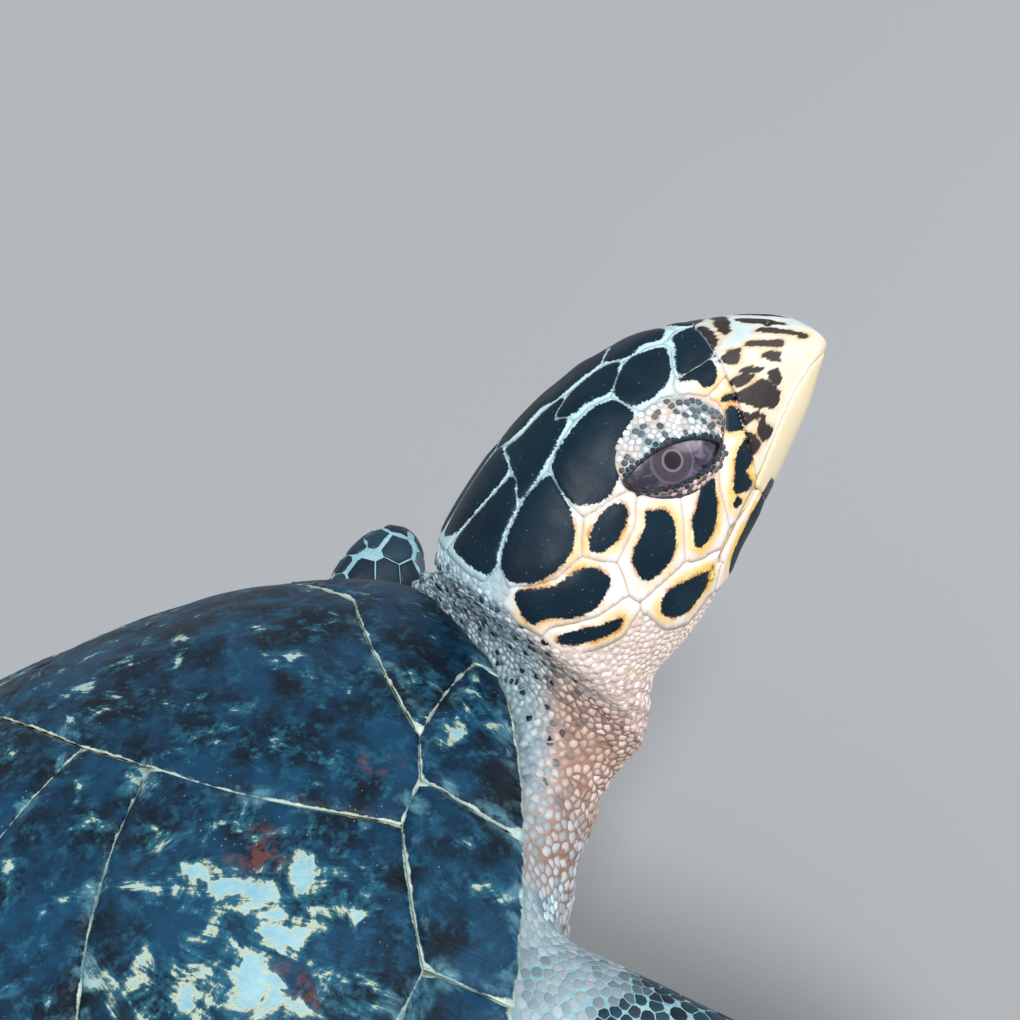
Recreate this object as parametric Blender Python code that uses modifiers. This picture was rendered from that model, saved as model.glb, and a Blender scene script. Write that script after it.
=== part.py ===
"""Hawksbill sea turtle, life size, held over a plain display stand by two rods.

The turtle faces -Y with its left side at +X.  The world origin is the centre of the
underside of the stand.  The shell is drawn about its own centre, on the plane of its
rim, and everything of the animal hangs from one empty at that centre.
"""
import math

import bmesh
import bpy
from mathutils import Euler, Matrix, Vector

# ---------------------------------------------------------------- driving dimensions
SHELL_LENGTH = 0.70          # straight length of the carapace
RIM_HEIGHT = 0.36            # rim plane above the underside of the stand
MM = SHELL_LENGTH / 700      # the drawings below are in millimetres of a 700 mm shell
GAP = 0.0003                 # between neighbouring pieces
PLATE = 0.006                # shell plate thickness
CUT_LOW, CUT_HIGH = -0.3, 0.4    # reach of the upright cutters past the shell
SHARPEST_MITRE = 0.4         # least cosine of half the turn at an inset corner

# Head: its own frame has the origin midway between the eyes, -Y along the bill.
HEAD_PLACE = Vector((-0.056, -0.435, 0.063))
HEAD_TURN = Euler((math.radians(-10.9), math.radians(13.8), math.radians(-7.5)), 'YXZ')

BASE_SIZE = (0.30, 0.46, 0.028)
BASE_EDGE = 0.005
ROD_RADIUS = 0.011
ROD_SIDES = 24
ROD_PLACES = {'front': -0.13, 'rear': 0.12}

SIDES = {'left': 1, 'right': -1}
COLORS = {
    'scute': (0.030, 0.042, 0.055),
    'plastron': (0.72, 0.62, 0.36),
    'skin': (0.34, 0.33, 0.33),
    'head': (0.10, 0.09, 0.08),
    'horn': (0.72, 0.60, 0.38),
    'jaw': (0.74, 0.62, 0.42),
    'eye': (0.10, 0.085, 0.10),
    'claw': (0.40, 0.32, 0.20),
    'stand': (0.075, 0.075, 0.078),
    'rod': (0.62, 0.62, 0.60),
}
ROUGHNESS = {'scute': 0.38, 'plastron': 0.45, 'skin': 0.62, 'head': 0.42, 'horn': 0.40,
             'jaw': 0.42, 'eye': 0.08, 'claw': 0.35, 'stand': 0.35, 'rod': 0.28}


# ---------------------------------------------------------------- shared helpers
def clear_scene():
    for item in list(bpy.data.objects):
        bpy.data.objects.remove(item, do_unlink=True)


def new_collection(name):
    collection = bpy.data.collections.new(name)
    bpy.context.scene.collection.children.link(collection)
    return collection


def material(name, kind):
    made = bpy.data.materials.new(name)
    made.use_nodes = True
    shader = made.node_tree.nodes['Principled BSDF']
    shader.inputs['Base Color'].default_value = (*COLORS[kind], 1.0)
    shader.inputs['Roughness'].default_value = ROUGHNESS[kind]
    shader.inputs['Metallic'].default_value = 1.0 if kind == 'rod' else 0.0
    return made


def object_from(mesh, name, collection):
    made = bpy.data.objects.new(name, mesh)
    collection.objects.link(made)
    return made


def mesh_from(bm, name):
    bmesh.ops.recalc_face_normals(bm, faces=bm.faces)
    mesh = bpy.data.meshes.new(name)
    bm.to_mesh(mesh)
    bm.free()
    return mesh


def as_cutter(item):
    item.hide_render = True
    item.display_type = 'WIRE'
    return item


def apply_modifiers(item):
    """Replace the object's mesh by its evaluated one."""
    graph = bpy.context.evaluated_depsgraph_get()
    item.data = bpy.data.meshes.new_from_object(item.evaluated_get(graph))
    item.modifiers.clear()


def boolean(item, cutter, operation):
    step = item.modifiers.new(operation.lower(), 'BOOLEAN')
    step.operation = operation
    step.object = cutter
    step.solver = 'EXACT'


def keep_largest_body(item):
    """Drop the offcuts that a Boolean left apart from the main body."""
    bm = bmesh.new()
    bm.from_mesh(item.data)
    unseen = set(bm.verts)
    bodies = []
    while unseen:
        front = [unseen.pop()]
        body = set(front)
        while front:
            vertex = front.pop()
            near = {e.other_vert(vertex) for e in vertex.link_edges} & unseen
            unseen -= near
            body |= near
            front += near
        bodies.append(body)
    bodies.sort(key=len)
    bmesh.ops.delete(bm, geom=[v for body in bodies[:-1] for v in body], context='VERTS')
    bm.to_mesh(item.data)
    bm.free()


def finish(item, kind, smooth_angle=35):
    item.data.materials.clear()
    item.data.materials.append(material(item.name, kind))
    item.data.shade_smooth()
    item.data.set_sharp_from_angle(angle=math.radians(smooth_angle))


def interpolate(knots, at):
    """Value at a place between (place, value) knots, level beyond the end knots."""
    if at <= knots[0][0]:
        return knots[0][1]
    for (x0, y0), (x1, y1) in zip(knots, knots[1:]):
        if at <= x1:
            share = (at - x0) / (x1 - x0)
            return y0 + (y1 - y0) * share
    return knots[-1][1]


def spline(points, steps, closed=False):
    """Catmull-Rom curve through the points."""
    count = len(points)
    spans = count if closed else count - 1
    curve = []
    for i in range(spans):
        if closed:
            a, b, c, d = (points[(i + k) % count] for k in (-1, 0, 1, 2))
        else:
            b, c = points[i], points[i + 1]
            a = points[i - 1] if i else 2 * b - c
            d = points[i + 2] if i + 2 < count else 2 * c - b
        for k in range(steps):
            t = k / steps
            curve.append(0.5 * (2 * b + (c - a) * t + (2 * a - 5 * b + 4 * c - d) * t * t
                                + (3 * b - a - 3 * c + d) * t ** 3))
    if not closed:
        curve.append(points[-1].copy())
    return curve


def arc(start, end, sag, steps=4):
    """Shallow arc between two plan points; sag bulges it to the left of its direction."""
    if not sag:
        return [start]
    along = end - start
    side = Vector((-along.y, along.x)).normalized()
    return [start + along * (k / steps) + side * sag * 4 * (k / steps) * (1 - k / steps)
            for k in range(steps)]


def inset(outline, distance):
    """Closed outline moved inwards by a distance, with mitred corners."""
    area = sum(a.x * b.y - b.x * a.y for a, b in zip(outline, outline[1:] + outline[:1]))
    turn = 1 if area > 0 else -1
    moved = []
    for i, point in enumerate(outline):
        before = (point - outline[i - 1]).normalized()
        after = (outline[(i + 1) % len(outline)] - point).normalized()
        normal = Vector((-before.y - after.y, before.x + after.x)).normalized() * turn
        cosine = max(SHARPEST_MITRE, normal.dot(Vector((-after.y, after.x)) * turn))
        moved.append(point + normal * distance / cosine)
    return moved


def prism(outline, low, high, name, collection, frame=Matrix.Identity(4)):
    """Upright block over a plan outline, as a cutter."""
    bm = bmesh.new()
    face = bm.faces.new([bm.verts.new((p.x, p.y, low)) for p in outline])
    raised = bmesh.ops.extrude_face_region(bm, geom=[face])['geom']
    bmesh.ops.translate(bm, vec=(0, 0, high - low),
                        verts=[v for v in raised if isinstance(v, bmesh.types.BMVert)])
    bmesh.ops.transform(bm, matrix=frame, verts=bm.verts)
    return as_cutter(object_from(mesh_from(bm, name), name, collection))


def loft(rings, name, collection):
    """Closed skin over a row of rings that all have the same number of points."""
    bm = bmesh.new()
    rows = [[bm.verts.new(p) for p in ring] for ring in rings]
    count = len(rows[0])
    for near, far in zip(rows, rows[1:]):
        for k in range(count):
            n = (k + 1) % count
            bm.faces.new((near[k], near[n], far[n], far[k]))
    bm.faces.new(rows[0])
    bm.faces.new(rows[-1])
    bmesh.ops.triangulate(bm, faces=bm.faces)
    return object_from(mesh_from(bm, name), name, collection)


def rib(top, bottom, side, points=16, belly=0.5, square=1.0):
    """Ring through a top and a bottom point, with `side` the reach to its +side.

    `belly` is the share of the height, from the top, at which the ring is widest.
    """
    middle = top.lerp(bottom, belly)
    ring = []
    for k in range(points):
        angle = 2 * math.pi * k / points
        sine, cosine = math.sin(angle), math.cos(angle)
        reach = math.copysign(abs(sine) ** square, sine)
        rise = math.copysign(abs(cosine) ** square, cosine)
        upright = (top - middle) if rise > 0 else (middle - bottom)
        ring.append(middle + upright * rise + side * reach)
    return ring


# ---------------------------------------------------------------- shell surfaces
# Half widths of the rim in the plan, drawn from the front to the rear, in millimetres.
RIM = [(0, -342), (48, -338), (92, -322), (134, -297), (173, -264), (208, -214), (234, -154),
       (250, -82), (256, 0), (247, 84), (223, 160), (181, 238), (124, 308), (60, 351), (0, 363)]
RISE = [(-350, 4), (-327, 29), (-299, 55), (-261, 83), (-187, 124), (-93, 148),
        (0, 157), (93, 149), (187, 119), (280, 67), (350, 5)]
RIM_LEVEL = [(-350, 42), (-280, 33), (-187, 17), (-93, 6), (0, 0), (187, 0), (350, 14)]
BELLY = [(-350, 55), (-280, 86), (-150, 104), (0, 108), (150, 96), (280, 58), (350, 16)]
DOME_POWER = 1.83            # roundness of the dome across its back
DOME_EDGE_POWER = 0.9        # how steeply the dome meets the rim
KEEL_POWER = 3               # how suddenly the underside turns up to the rim
LEAST_HALF_WIDTH = 0.004
DOME_ROWS, DOME_COLUMNS = 20, 15
BELLY_ROWS, BELLY_COLUMNS = 12, 10
END_SHARE = 0.986            # the sheets stop short of the ends, where the plan closes


def drawn(knots):
    """Smoothly refined (place, value) knots in metres, from a drawing in millimetres."""
    curve = spline([Vector(k) * MM for k in knots], 6)
    return [(p.x, p.y) for p in curve]


RIM_MIDDLE = (RIM[0][1] + RIM[-1][1]) / 2 * MM
RIM_REACH = (RIM[-1][1] - RIM[0][1]) / 2 * MM
RIM_CURVE = [(p.y, p.x) for p in spline([Vector(p) * MM for p in RIM], 8)]
RISE_CURVE = drawn(RISE)
RIM_LEVEL_CURVE = drawn(RIM_LEVEL)
BELLY_CURVE = drawn(BELLY)


def half_width(y):
    return max(interpolate(RIM_CURVE, y), LEAST_HALF_WIDTH)


def dome(x, y):
    share = min(abs(x) / half_width(y), 1.0)
    return (interpolate(RIM_LEVEL_CURVE, y)
            + interpolate(RISE_CURVE, y) * (1 - share ** DOME_POWER) ** DOME_EDGE_POWER)


def underside(x, y):
    share = min(abs(x) / half_width(y), 1.0) ** KEEL_POWER
    return interpolate(RIM_LEVEL_CURVE, y) * share - interpolate(BELLY_CURVE, y) * (1 - share)


def shell_sheet(height, rows, columns, name, collection):
    """Open sheet over the whole plan of the shell, at a height given by a function."""
    bm = bmesh.new()
    bmesh.ops.create_grid(bm, x_segments=columns, y_segments=rows, size=1.0)
    for vertex in bm.verts:
        spread = 0.5 * vertex.co.y + 0.5 * math.sin(vertex.co.y * math.pi / 2)
        y = RIM_MIDDLE + RIM_REACH * END_SHARE * spread
        x = half_width(y) * math.sin(vertex.co.x * math.pi / 2)
        vertex.co = (x, y, height(x, y))
    bmesh.ops.triangulate(bm, faces=bm.faces, quad_method='FIXED')
    mesh = bpy.data.meshes.new(name)
    bm.to_mesh(mesh)
    bm.free()
    return object_from(mesh, name, collection)


def thicken(item, thickness, outward=False):
    step = item.modifiers.new('thickness', 'SOLIDIFY')
    step.thickness = thickness
    step.offset = 1.0 if outward else -1.0
    step.use_even_offset = False
    apply_modifiers(item)


def shell_slab(name, thickness, collection):
    slab = shell_sheet(dome, DOME_ROWS, DOME_COLUMNS, name, collection)
    thicken(slab, thickness)
    return as_cutter(slab)


def belly_slab(name, thickness, collection, lowered=0.0):
    slab = shell_sheet(lambda x, y: underside(x, y) - lowered, BELLY_ROWS, BELLY_COLUMNS,
                       name, collection)
    thicken(slab, thickness, outward=True)
    return as_cutter(slab)


# ---------------------------------------------------------------- shell plates
# Corners of the plates in the plan: half width, then place along the body (mm).
CORNERS = {
    'nuchal_front': (55, -332), 'nuchal_rear': (91, -298), 'nuchal_mid': (0, -317),
    'first_side': (107, -289), 'first_low': (120, -276), 'first_back': (67, -230),
    'first_rear': (44, -216), 'first_mid': (0, -196),
    'second_wide': (86, -150), 'second_rear': (52, -78), 'second_mid': (0, -58),
    'third_wide': (84, -12), 'third_rear': (46, 62), 'third_mid': (0, 82),
    'fourth_wide': (72, 118), 'fourth_rear': (33, 196), 'fourth_mid': (0, 214),
    'fifth_wide': (62, 258), 'fifth_low': (40, 302), 'fifth_mid': (0, 306),
    'edge_2': (158, -254), 'edge_3': (190, -200), 'edge_4': (213, -134), 'edge_5': (224, -66),
    'edge_6': (225, 2), 'edge_7': (214, 70), 'edge_8': (190, 136), 'edge_9': (153, 196),
    'edge_10': (108, 246),
}
# Where the seams between the marginal plates reach the rim: place along the body (mm).
RIM_SEAMS = [-335, -299, -265, -208, -140, -68, 4, 76, 146, 210, 270, 330, 363]
# Marginal seams run from these inner corners to the rim seams of the same rank.
INNER_CORNERS = ['nuchal_front', 'first_side', 'edge_2', 'edge_3', 'edge_4', 'edge_5',
                 'edge_6', 'edge_7', 'edge_8', 'edge_9', 'edge_10', 'fifth_low', 'fifth_mid']
MARGINALS = 12
NOTCH_FROM = 7               # marginals behind this rank end in a point
NOTCH_DEPTH = 12             # mm
NOTCH_LEAD = 5               # mm from a point forwards of its rear seam
NOTCH_SHOULDER = 0.35        # share of a rear marginal ahead of its widest place
RIM_MARGIN = 40              # mm that a rim plate's outline reaches past the rim


def corner(name):
    return Vector(CORNERS[name])


def outline_of(names, sags):
    """Closed plan outline through named corners, each side an arc with its own sag."""
    points = [corner(n) for n in names]
    curve = []
    for start, end, sag in zip(points, points[1:] + points[:1], sags):
        curve += arc(start, end, sag)
    return curve


def mirrored(outline):
    """The half outline followed by its mirror image, for a plate on the midline."""
    back = [Vector((-p.x, p.y)) for p in reversed(outline) if abs(p.x) > 0.5]
    return outline + back


def path(names, sags):
    """Open plan line through named corners, each stretch an arc with its own sag."""
    curve = []
    for start, end, sag in zip(names, names[1:], sags):
        curve += arc(corner(start), corner(end), sag)
    return curve + [corner(names[-1])]


def middle_outlines():
    """Plan outlines of the nuchal and the five vertebrals."""
    front = [Vector((0, RIM[0][1] - RIM_MARGIN)), Vector((70, RIM[0][1] - RIM_MARGIN))]
    nuchal = front + path(['nuchal_front', 'nuchal_rear', 'nuchal_mid'], [2, 0])
    first = path(['nuchal_mid', 'nuchal_rear', 'first_side', 'first_low', 'first_back',
                  'first_rear', 'first_mid'], [0, 0, 0, -4, 0, 0])
    second = path(['first_mid', 'first_rear', 'second_wide', 'second_rear', 'second_mid'],
                  [0, 0, 0, 0])
    third = path(['second_mid', 'second_rear', 'third_wide', 'third_rear', 'third_mid'],
                 [0, 0, 0, 0])
    fourth = path(['third_mid', 'third_rear', 'fourth_wide', 'fourth_rear', 'fourth_mid'],
                  [0, 0, 0, 0])
    fifth = path(['fourth_mid', 'fourth_rear', 'fifth_wide', 'fifth_low', 'fifth_mid'],
                 [0, 0, 0, 0])
    halves = [nuchal, first, second, third, fourth, fifth]
    names = ['nuchal'] + [f'vertebral_{n}' for n in range(1, 6)]
    return {name: mirrored(half) for name, half in zip(names, halves)}


def costal_outlines():
    """Plan outlines of the four costals of the left side."""
    return {
        'costal_1': outline_of(['first_low', 'first_back', 'edge_4', 'edge_3', 'edge_2'],
                               [-4, 9, 0, 0, 0]),
        'costal_2': outline_of(['first_back', 'first_rear', 'second_wide', 'second_rear',
                                'edge_6', 'edge_5', 'edge_4'],
                               [0, 0, 0, 5, 0, 0, -9]),
        'costal_3': outline_of(['second_rear', 'third_wide', 'third_rear',
                                'edge_8', 'edge_7', 'edge_6'],
                               [0, 0, 4, 0, 0, -5]),
        'costal_4': outline_of(['third_rear', 'fourth_wide', 'fourth_rear', 'fifth_wide',
                                'edge_10', 'edge_9', 'edge_8'],
                               [0, 0, 0, 0, 0, 0, -4]),
    }


def rim_point(y, beyond):
    """Point at a place along the body, a distance outside the rim, both in mm."""
    x = half_width(y * MM) / MM
    slope = (half_width((y + 4) * MM) - half_width((y - 4) * MM)) / (8 * MM)
    outward = Vector((1, -slope)).normalized()
    if y >= RIM[-1][1]:
        return Vector((0, RIM[-1][1] + beyond))
    return Vector((x, y)) + outward * beyond


def marginal_outline(rank):
    """Plan outline of one left marginal; the rear ones end in a point at the rim."""
    start, end = INNER_CORNERS[rank], INNER_CORNERS[rank + 1]
    fore, aft = RIM_SEAMS[rank], RIM_SEAMS[rank + 1]
    inner = {0: ['nuchal_front', 'nuchal_rear', 'first_side'],
             1: ['first_side', 'first_low', 'edge_2'],
             10: ['edge_10', 'fifth_wide', 'fifth_low']}.get(rank, [start, end])
    outline = path(inner, [0] * (len(inner) - 1))
    if rank < NOTCH_FROM:
        outer = [rim_point(aft, RIM_MARGIN), rim_point(fore, RIM_MARGIN)]
        return outline + [rim_point(aft, 0)] + outer + [rim_point(fore, 0)]
    tip = rim_point(aft - NOTCH_LEAD, 1)
    shoulder = rim_point(fore + NOTCH_SHOULDER * (aft - fore), 2)
    return outline + [rim_point(aft, -NOTCH_DEPTH), tip, shoulder, rim_point(fore, -NOTCH_DEPTH)]


def flip(outline, side):
    return [Vector((p.x * side, p.y)) for p in outline]


def cut_plate(blank, outline, name, kind, collection, cutters):
    """Copy of the blank inside a plan outline given in millimetres."""
    shape = [p * MM for p in outline]
    block = prism(inset(shape, GAP / 2), CUT_LOW, CUT_HIGH, f'{name}_outline', cutters)
    plate = object_from(blank.data.copy(), name, collection)
    boolean(plate, block, 'INTERSECT')
    apply_modifiers(plate)
    finish(plate, kind)


def build_carapace(collection, cutters):
    blank = shell_slab('carapace_blank', PLATE, cutters)
    for name, outline in middle_outlines().items():
        cut_plate(blank, outline, name, 'scute', collection, cutters)
    for side_name, side in SIDES.items():
        for name, outline in costal_outlines().items():
            full_name = name.replace('_', f'_{side_name}_')
            cut_plate(blank, flip(outline, side), full_name, 'scute', collection, cutters)
        for rank in range(MARGINALS):
            outline = flip(marginal_outline(rank), side)
            name = f'marginal_{side_name}_{rank + 1}'
            cut_plate(blank, outline, name, 'scute', collection, cutters)


# ---------------------------------------------------------------- plastron and trunk
PLASTRON = [(0, -292), (34, -286), (66, -262), (98, -205), (150, -150), (196, -112),
            (205, -40), (202, 40), (176, 96), (124, 128), (98, 190), (66, 250), (26, 282),
            (0, 284)]
TRUNK = [(0, -312), (60, -310), (104, -288), (150, -236), (190, -176), (218, -100),
         (230, 0), (220, 84), (196, 150), (156, 214), (104, 270), (48, 302), (0, 308)]


LEAST_DEPTH = 0.002          # of the trunk, where its two sheets meet


def build_plastron(collection, cutters):
    blank = belly_slab('plastron_blank', PLATE, cutters)
    half = spline([Vector(p) for p in PLASTRON], 3)
    cut_plate(blank, mirrored(half), 'plastron', 'plastron', collection, cutters)


def trunk_form(name, grown, collection):
    """Pillow between the carapace and the belly, a little inside both."""
    half = spline([Vector(p) for p in TRUNK], 3)
    outline = inset([p * MM for p in mirrored(half)], -grown)
    form = shell_sheet(lambda x, y: dome(x, y) - PLATE / 2, DOME_ROWS, DOME_COLUMNS, name,
                       collection)
    thicken(form, LEAST_DEPTH / 2)
    lower_to_belly(form, PLATE / 2 - grown)
    block = prism(outline, CUT_LOW, CUT_HIGH, f'{name}_outline', collection)
    boolean(form, block, 'INTERSECT')
    apply_modifiers(form)
    return as_cutter(form)


def lower_to_belly(form, above):
    """Drop the inner layer of a thin double sheet to the belly surface."""
    half = len(form.data.vertices) // 2
    for vertex in form.data.vertices[half:]:
        twin = form.data.vertices[vertex.index - half].co
        low = underside(twin.x, twin.y) + above
        vertex.co = (twin.x, twin.y, min(low, twin.z - LEAST_DEPTH))


def build_trunk(collection, cutters):
    form = trunk_form('trunk_form', 0.0, cutters)
    trunk = object_from(form.data.copy(), 'trunk', collection)
    boolean(trunk, shell_slab('carapace_clearance', PLATE + GAP, cutters), 'DIFFERENCE')
    apply_modifiers(trunk)
    belly = belly_slab('belly_clearance', PLATE + GAP, cutters)
    boolean(trunk, belly, 'DIFFERENCE')
    apply_modifiers(trunk)
    keep_largest_body(trunk)
    finish(trunk, 'skin')


def build_clearances(cutters):
    """Cutters a gap larger than the trunk and the plastron."""
    trunk_form('trunk_clearance', GAP, cutters)
    clearance = belly_slab('plastron_clearance', PLATE + 2 * GAP, cutters, lowered=GAP)
    half = spline([Vector(p) for p in PLASTRON], 3)
    outline = inset([p * MM for p in mirrored(half)], -GAP)
    reach = prism(outline, CUT_LOW, CUT_HIGH, 'plastron_reach', cutters)
    boolean(clearance, reach, 'INTERSECT')
    apply_modifiers(clearance)


def clear_of_trunk(item, cutters):
    """Cut a limb, neck or tail off where the shell and the trunk begin."""
    for name in ('trunk_clearance', 'carapace_clearance', 'plastron_clearance'):
        boolean(item, cutters.objects[name], 'DIFFERENCE')
        apply_modifiers(item)
    keep_largest_body(item)


# ---------------------------------------------------------------- head
# Ribs of the head, front to rear: forward, top, bottom, half width, share of the height
# (from the top) at which the rib is widest; all in mm in the head's own frame.
HEAD_RIBS = [
    (76, -21, -27, 2, 0.5), (72, -8, -29, 6, 0.6), (62, 5, -33, 12, 0.55),
    (50, 16, -38, 17, 0.5), (36, 27, -42, 22, 0.48), (20, 36, -46, 29, 0.47),
    (0, 42, -50, 36, 0.46), (-22, 45, -55, 41, 0.48), (-46, 45, -58, 44, 0.5),
    (-68, 42, -56, 43, 0.5), (-86, 37, -52, 37, 0.5),
]
MOUTH_LINE = [(100, -30), (74, -29), (62, -25), (50, -25), (34, -28), (14, -32), (-4, -36),
              (-34, -40)]
BILL_BACK = [(45, 70), (44, 20), (32, -6), (14, -32)]
LOWER_BILL_BACK = 12
JAW_BACK = -38
HEAD_POINTS = 22             # round each rib
HEAD_SQUARE = 0.88
EYE_PLACE = Vector((0.0215, 0.006, 0.0))
EYE_RADIUS = 0.0195
EYE_SMOOTH = 60              # degrees
HEAD_WIDTH = 0.2             # cutters across the head are this wide


def head_form(cutters):
    rings = []
    for forward, top, bottom, half, widest in HEAD_RIBS:
        upper = Vector((0, -forward, top)) * 0.001
        lower = Vector((0, -forward, bottom)) * 0.001
        side = Vector((half * 0.001, 0, 0))
        rings.append(rib(upper, lower, side, HEAD_POINTS, widest, HEAD_SQUARE))
    return as_cutter(loft(rings, 'head_form', cutters))


def profile(points):
    """Side-view points (forward, up) in mm as outline points in metres."""
    return [Vector((-f, u)) * 0.001 for f, u in points]


def head_pieces():
    """Side-view outlines of the pieces that the head is divided into."""
    cheek = [p for p in MOUTH_LINE if p[0] <= 14]
    upper_front = [p for p in MOUTH_LINE if p[0] >= 14]
    chin = [(LOWER_BILL_BACK, -33)]
    return {
        'upper_bill': ('horn', upper_front + BILL_BACK[2::-1] + [(100, 70)]),
        'lower_bill': ('horn', upper_front[:-1] + chin + [(LOWER_BILL_BACK, -90), (100, -90)]),
        'lower_jaw': ('jaw', chin + cheek[1:] + [(JAW_BACK, -41), (JAW_BACK, -90),
                                                 (LOWER_BILL_BACK, -90)]),
        'head': ('head', BILL_BACK + cheek[1:] + [(JAW_BACK, -41), (JAW_BACK, -90),
                                                  (-140, -90), (-140, 70)]),
    }


def build_head(collection, cutters, frame):
    form = head_form(cutters)
    sideways = Matrix(((0, 0, 1, 0), (1, 0, 0, 0), (0, 1, 0, 0), (0, 0, 0, 1)))
    for name, (kind, points) in head_pieces().items():
        outline = inset(profile(points), GAP / 2)
        block = prism(outline, -HEAD_WIDTH / 2, HEAD_WIDTH / 2, f'{name}_outline', cutters,
                      sideways)
        piece = object_from(form.data.copy(), name, collection)
        boolean(piece, block, 'INTERSECT')
        apply_modifiers(piece)
        piece.parent = frame
        if name == 'head':
            cut_sockets(piece, cutters)
        finish(piece, kind)


def ball(radius, place, name, collection):
    bm = bmesh.new()
    bmesh.ops.create_uvsphere(bm, u_segments=14, v_segments=9, radius=radius,
                              matrix=Matrix.Translation(place))
    return object_from(mesh_from(bm, name), name, collection)


def cut_sockets(head, cutters):
    parent = head.parent
    head.parent = None
    for name, side in SIDES.items():
        place = Vector((EYE_PLACE.x * side, EYE_PLACE.y, EYE_PLACE.z))
        socket = as_cutter(ball(EYE_RADIUS + 2 * GAP, place, f'socket_{name}', cutters))
        boolean(head, socket, 'DIFFERENCE')
        apply_modifiers(head)
    head.parent = parent


def build_eyes(collection, frame):
    for name, side in SIDES.items():
        place = Vector((EYE_PLACE.x * side, EYE_PLACE.y, EYE_PLACE.z))
        eye = ball(EYE_RADIUS, place, f'eye_{name}', collection)
        eye.parent = frame
        finish(eye, 'eye', EYE_SMOOTH)


# ---------------------------------------------------------------- neck, limbs, tail
def build_neck(collection, cutters):
    """Loft from the rear of the head, down in front of the nuchal, into the shell."""
    head = Matrix.LocRotScale(HEAD_PLACE, HEAD_TURN, None)
    across = head.to_3x3() @ Vector((1, 0, 0))
    rings = [
        rib(head @ Vector((0, 0.0864, 0.037)), head @ Vector((0, 0.0864, -0.052)),
            across * 0.037),
        rib(Vector((-0.034, -0.341, 0.082)), Vector((-0.052, -0.359, -0.026)),
            across * 0.047),
        rib(Vector((-0.020, -0.352, 0.056)), Vector((-0.034, -0.3416, -0.040)),
            Vector((0.054, 0.004, 0.010))),
        rib(Vector((-0.004, -0.346, 0.030)), Vector((-0.022, -0.320, -0.052)),
            Vector((0.072, 0, 0.004))),
        rib(Vector((0, -0.318, 0.024)), Vector((-0.006, -0.292, -0.068)),
            Vector((0.090, 0, 0))),
        rib(Vector((0, -0.28, 0.020)), Vector((0, -0.255, -0.080)), Vector((0.096, 0, 0))),
    ]
    neck = loft(rings, 'neck', collection)
    clear_of_trunk(neck, cutters)
    finish(neck, 'skin')


# Stations of a limb: centre, direction across the blade towards its rear edge,
# half width, half thickness.  The left front flipper is swept back, the right one
# reaches forwards and down.
FRONT_FLIPPERS = {
    'right': [
        ((-0.095, -0.220, -0.038), (0.2, 0.8, -0.5), 0.042, 0.032),
        ((-0.132, -0.256, -0.046), (0.2, 0.8, -0.5), 0.043, 0.029),
        ((-0.172, -0.287, -0.080), (0.2, 0.85, -0.4), 0.042, 0.022),
        ((-0.222, -0.306, -0.126), (0.25, 0.9, -0.3), 0.050, 0.014),
        ((-0.282, -0.310, -0.178), (0.3, 0.9, -0.25), 0.052, 0.010),
        ((-0.342, -0.294, -0.222), (0.4, 0.85, -0.2), 0.043, 0.007),
        ((-0.390, -0.266, -0.258), (0.5, 0.8, -0.15), 0.027, 0.005),
        ((-0.420, -0.240, -0.276), (0.6, 0.7, -0.1), 0.008, 0.003),
    ],
    'left': [
        ((0.095, -0.220, -0.040), (0.0, 0.9, -0.4), 0.042, 0.032),
        ((0.118, -0.276, -0.016), (0.0, 0.9, -0.4), 0.046, 0.030),
        ((0.146, -0.328, 0.000), (-0.1, 0.9, -0.4), 0.045, 0.025),
        ((0.190, -0.318, -0.036), (-0.45, 0.85, -0.2), 0.047, 0.018),
        ((0.234, -0.282, -0.072), (-0.6, 0.75, -0.1), 0.051, 0.013),
        ((0.280, -0.238, -0.094), (-0.7, 0.7, 0.0), 0.052, 0.010),
        ((0.330, -0.180, -0.132), (-0.8, 0.6, 0.05), 0.043, 0.007),
        ((0.366, -0.122, -0.162), (-0.85, 0.5, 0.05), 0.027, 0.005),
        ((0.386, -0.078, -0.180), (-0.9, 0.45, 0.05), 0.008, 0.003),
    ],
}
HIND_FLIPPER = [
    ((0.105, 0.205, -0.040), (-0.85, 0.5, 0.0), 0.034, 0.026),
    ((0.140, 0.262, -0.048), (-0.85, 0.5, 0.0), 0.036, 0.020),
    ((0.172, 0.312, -0.060), (-0.85, 0.5, 0.0), 0.044, 0.011),
    ((0.200, 0.356, -0.072), (-0.85, 0.5, 0.05), 0.046, 0.007),
    ((0.222, 0.394, -0.080), (-0.85, 0.5, 0.05), 0.034, 0.005),
    ((0.236, 0.418, -0.084), (-0.85, 0.5, 0.05), 0.012, 0.003),
]
LIMB_POINTS = 14             # round each section
LIMB_BELLY = 0.42            # share of the blade ahead of its thickest line
CLAW_AT = 3                  # station that bears the claw
CLAW_LENGTH = 0.016
CLAW_RADIUS = 0.0042
CLAW_ROOTED = 0.004          # sunk in the blade


def limb_rings(stations, side=1):
    rings = []
    for i, (centre, across, reach, thick) in enumerate(stations):
        here = Vector((centre[0] * side, centre[1], centre[2]))
        chord = Vector((across[0] * side, across[1], across[2])).normalized()
        ahead = Vector(stations[min(i + 1, len(stations) - 1)][0])
        behind = Vector(stations[max(i - 1, 0)][0])
        along = ahead - behind
        along.x *= side
        face = along.cross(chord).normalized()
        rings.append(rib(here - chord * reach, here + chord * reach, face * thick,
                         LIMB_POINTS, LIMB_BELLY))
    return rings


def limb(name, stations, side, collection, cutters):
    made = loft(limb_rings(stations, side), name, collection)
    clear_of_trunk(made, cutters)
    return made


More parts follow.
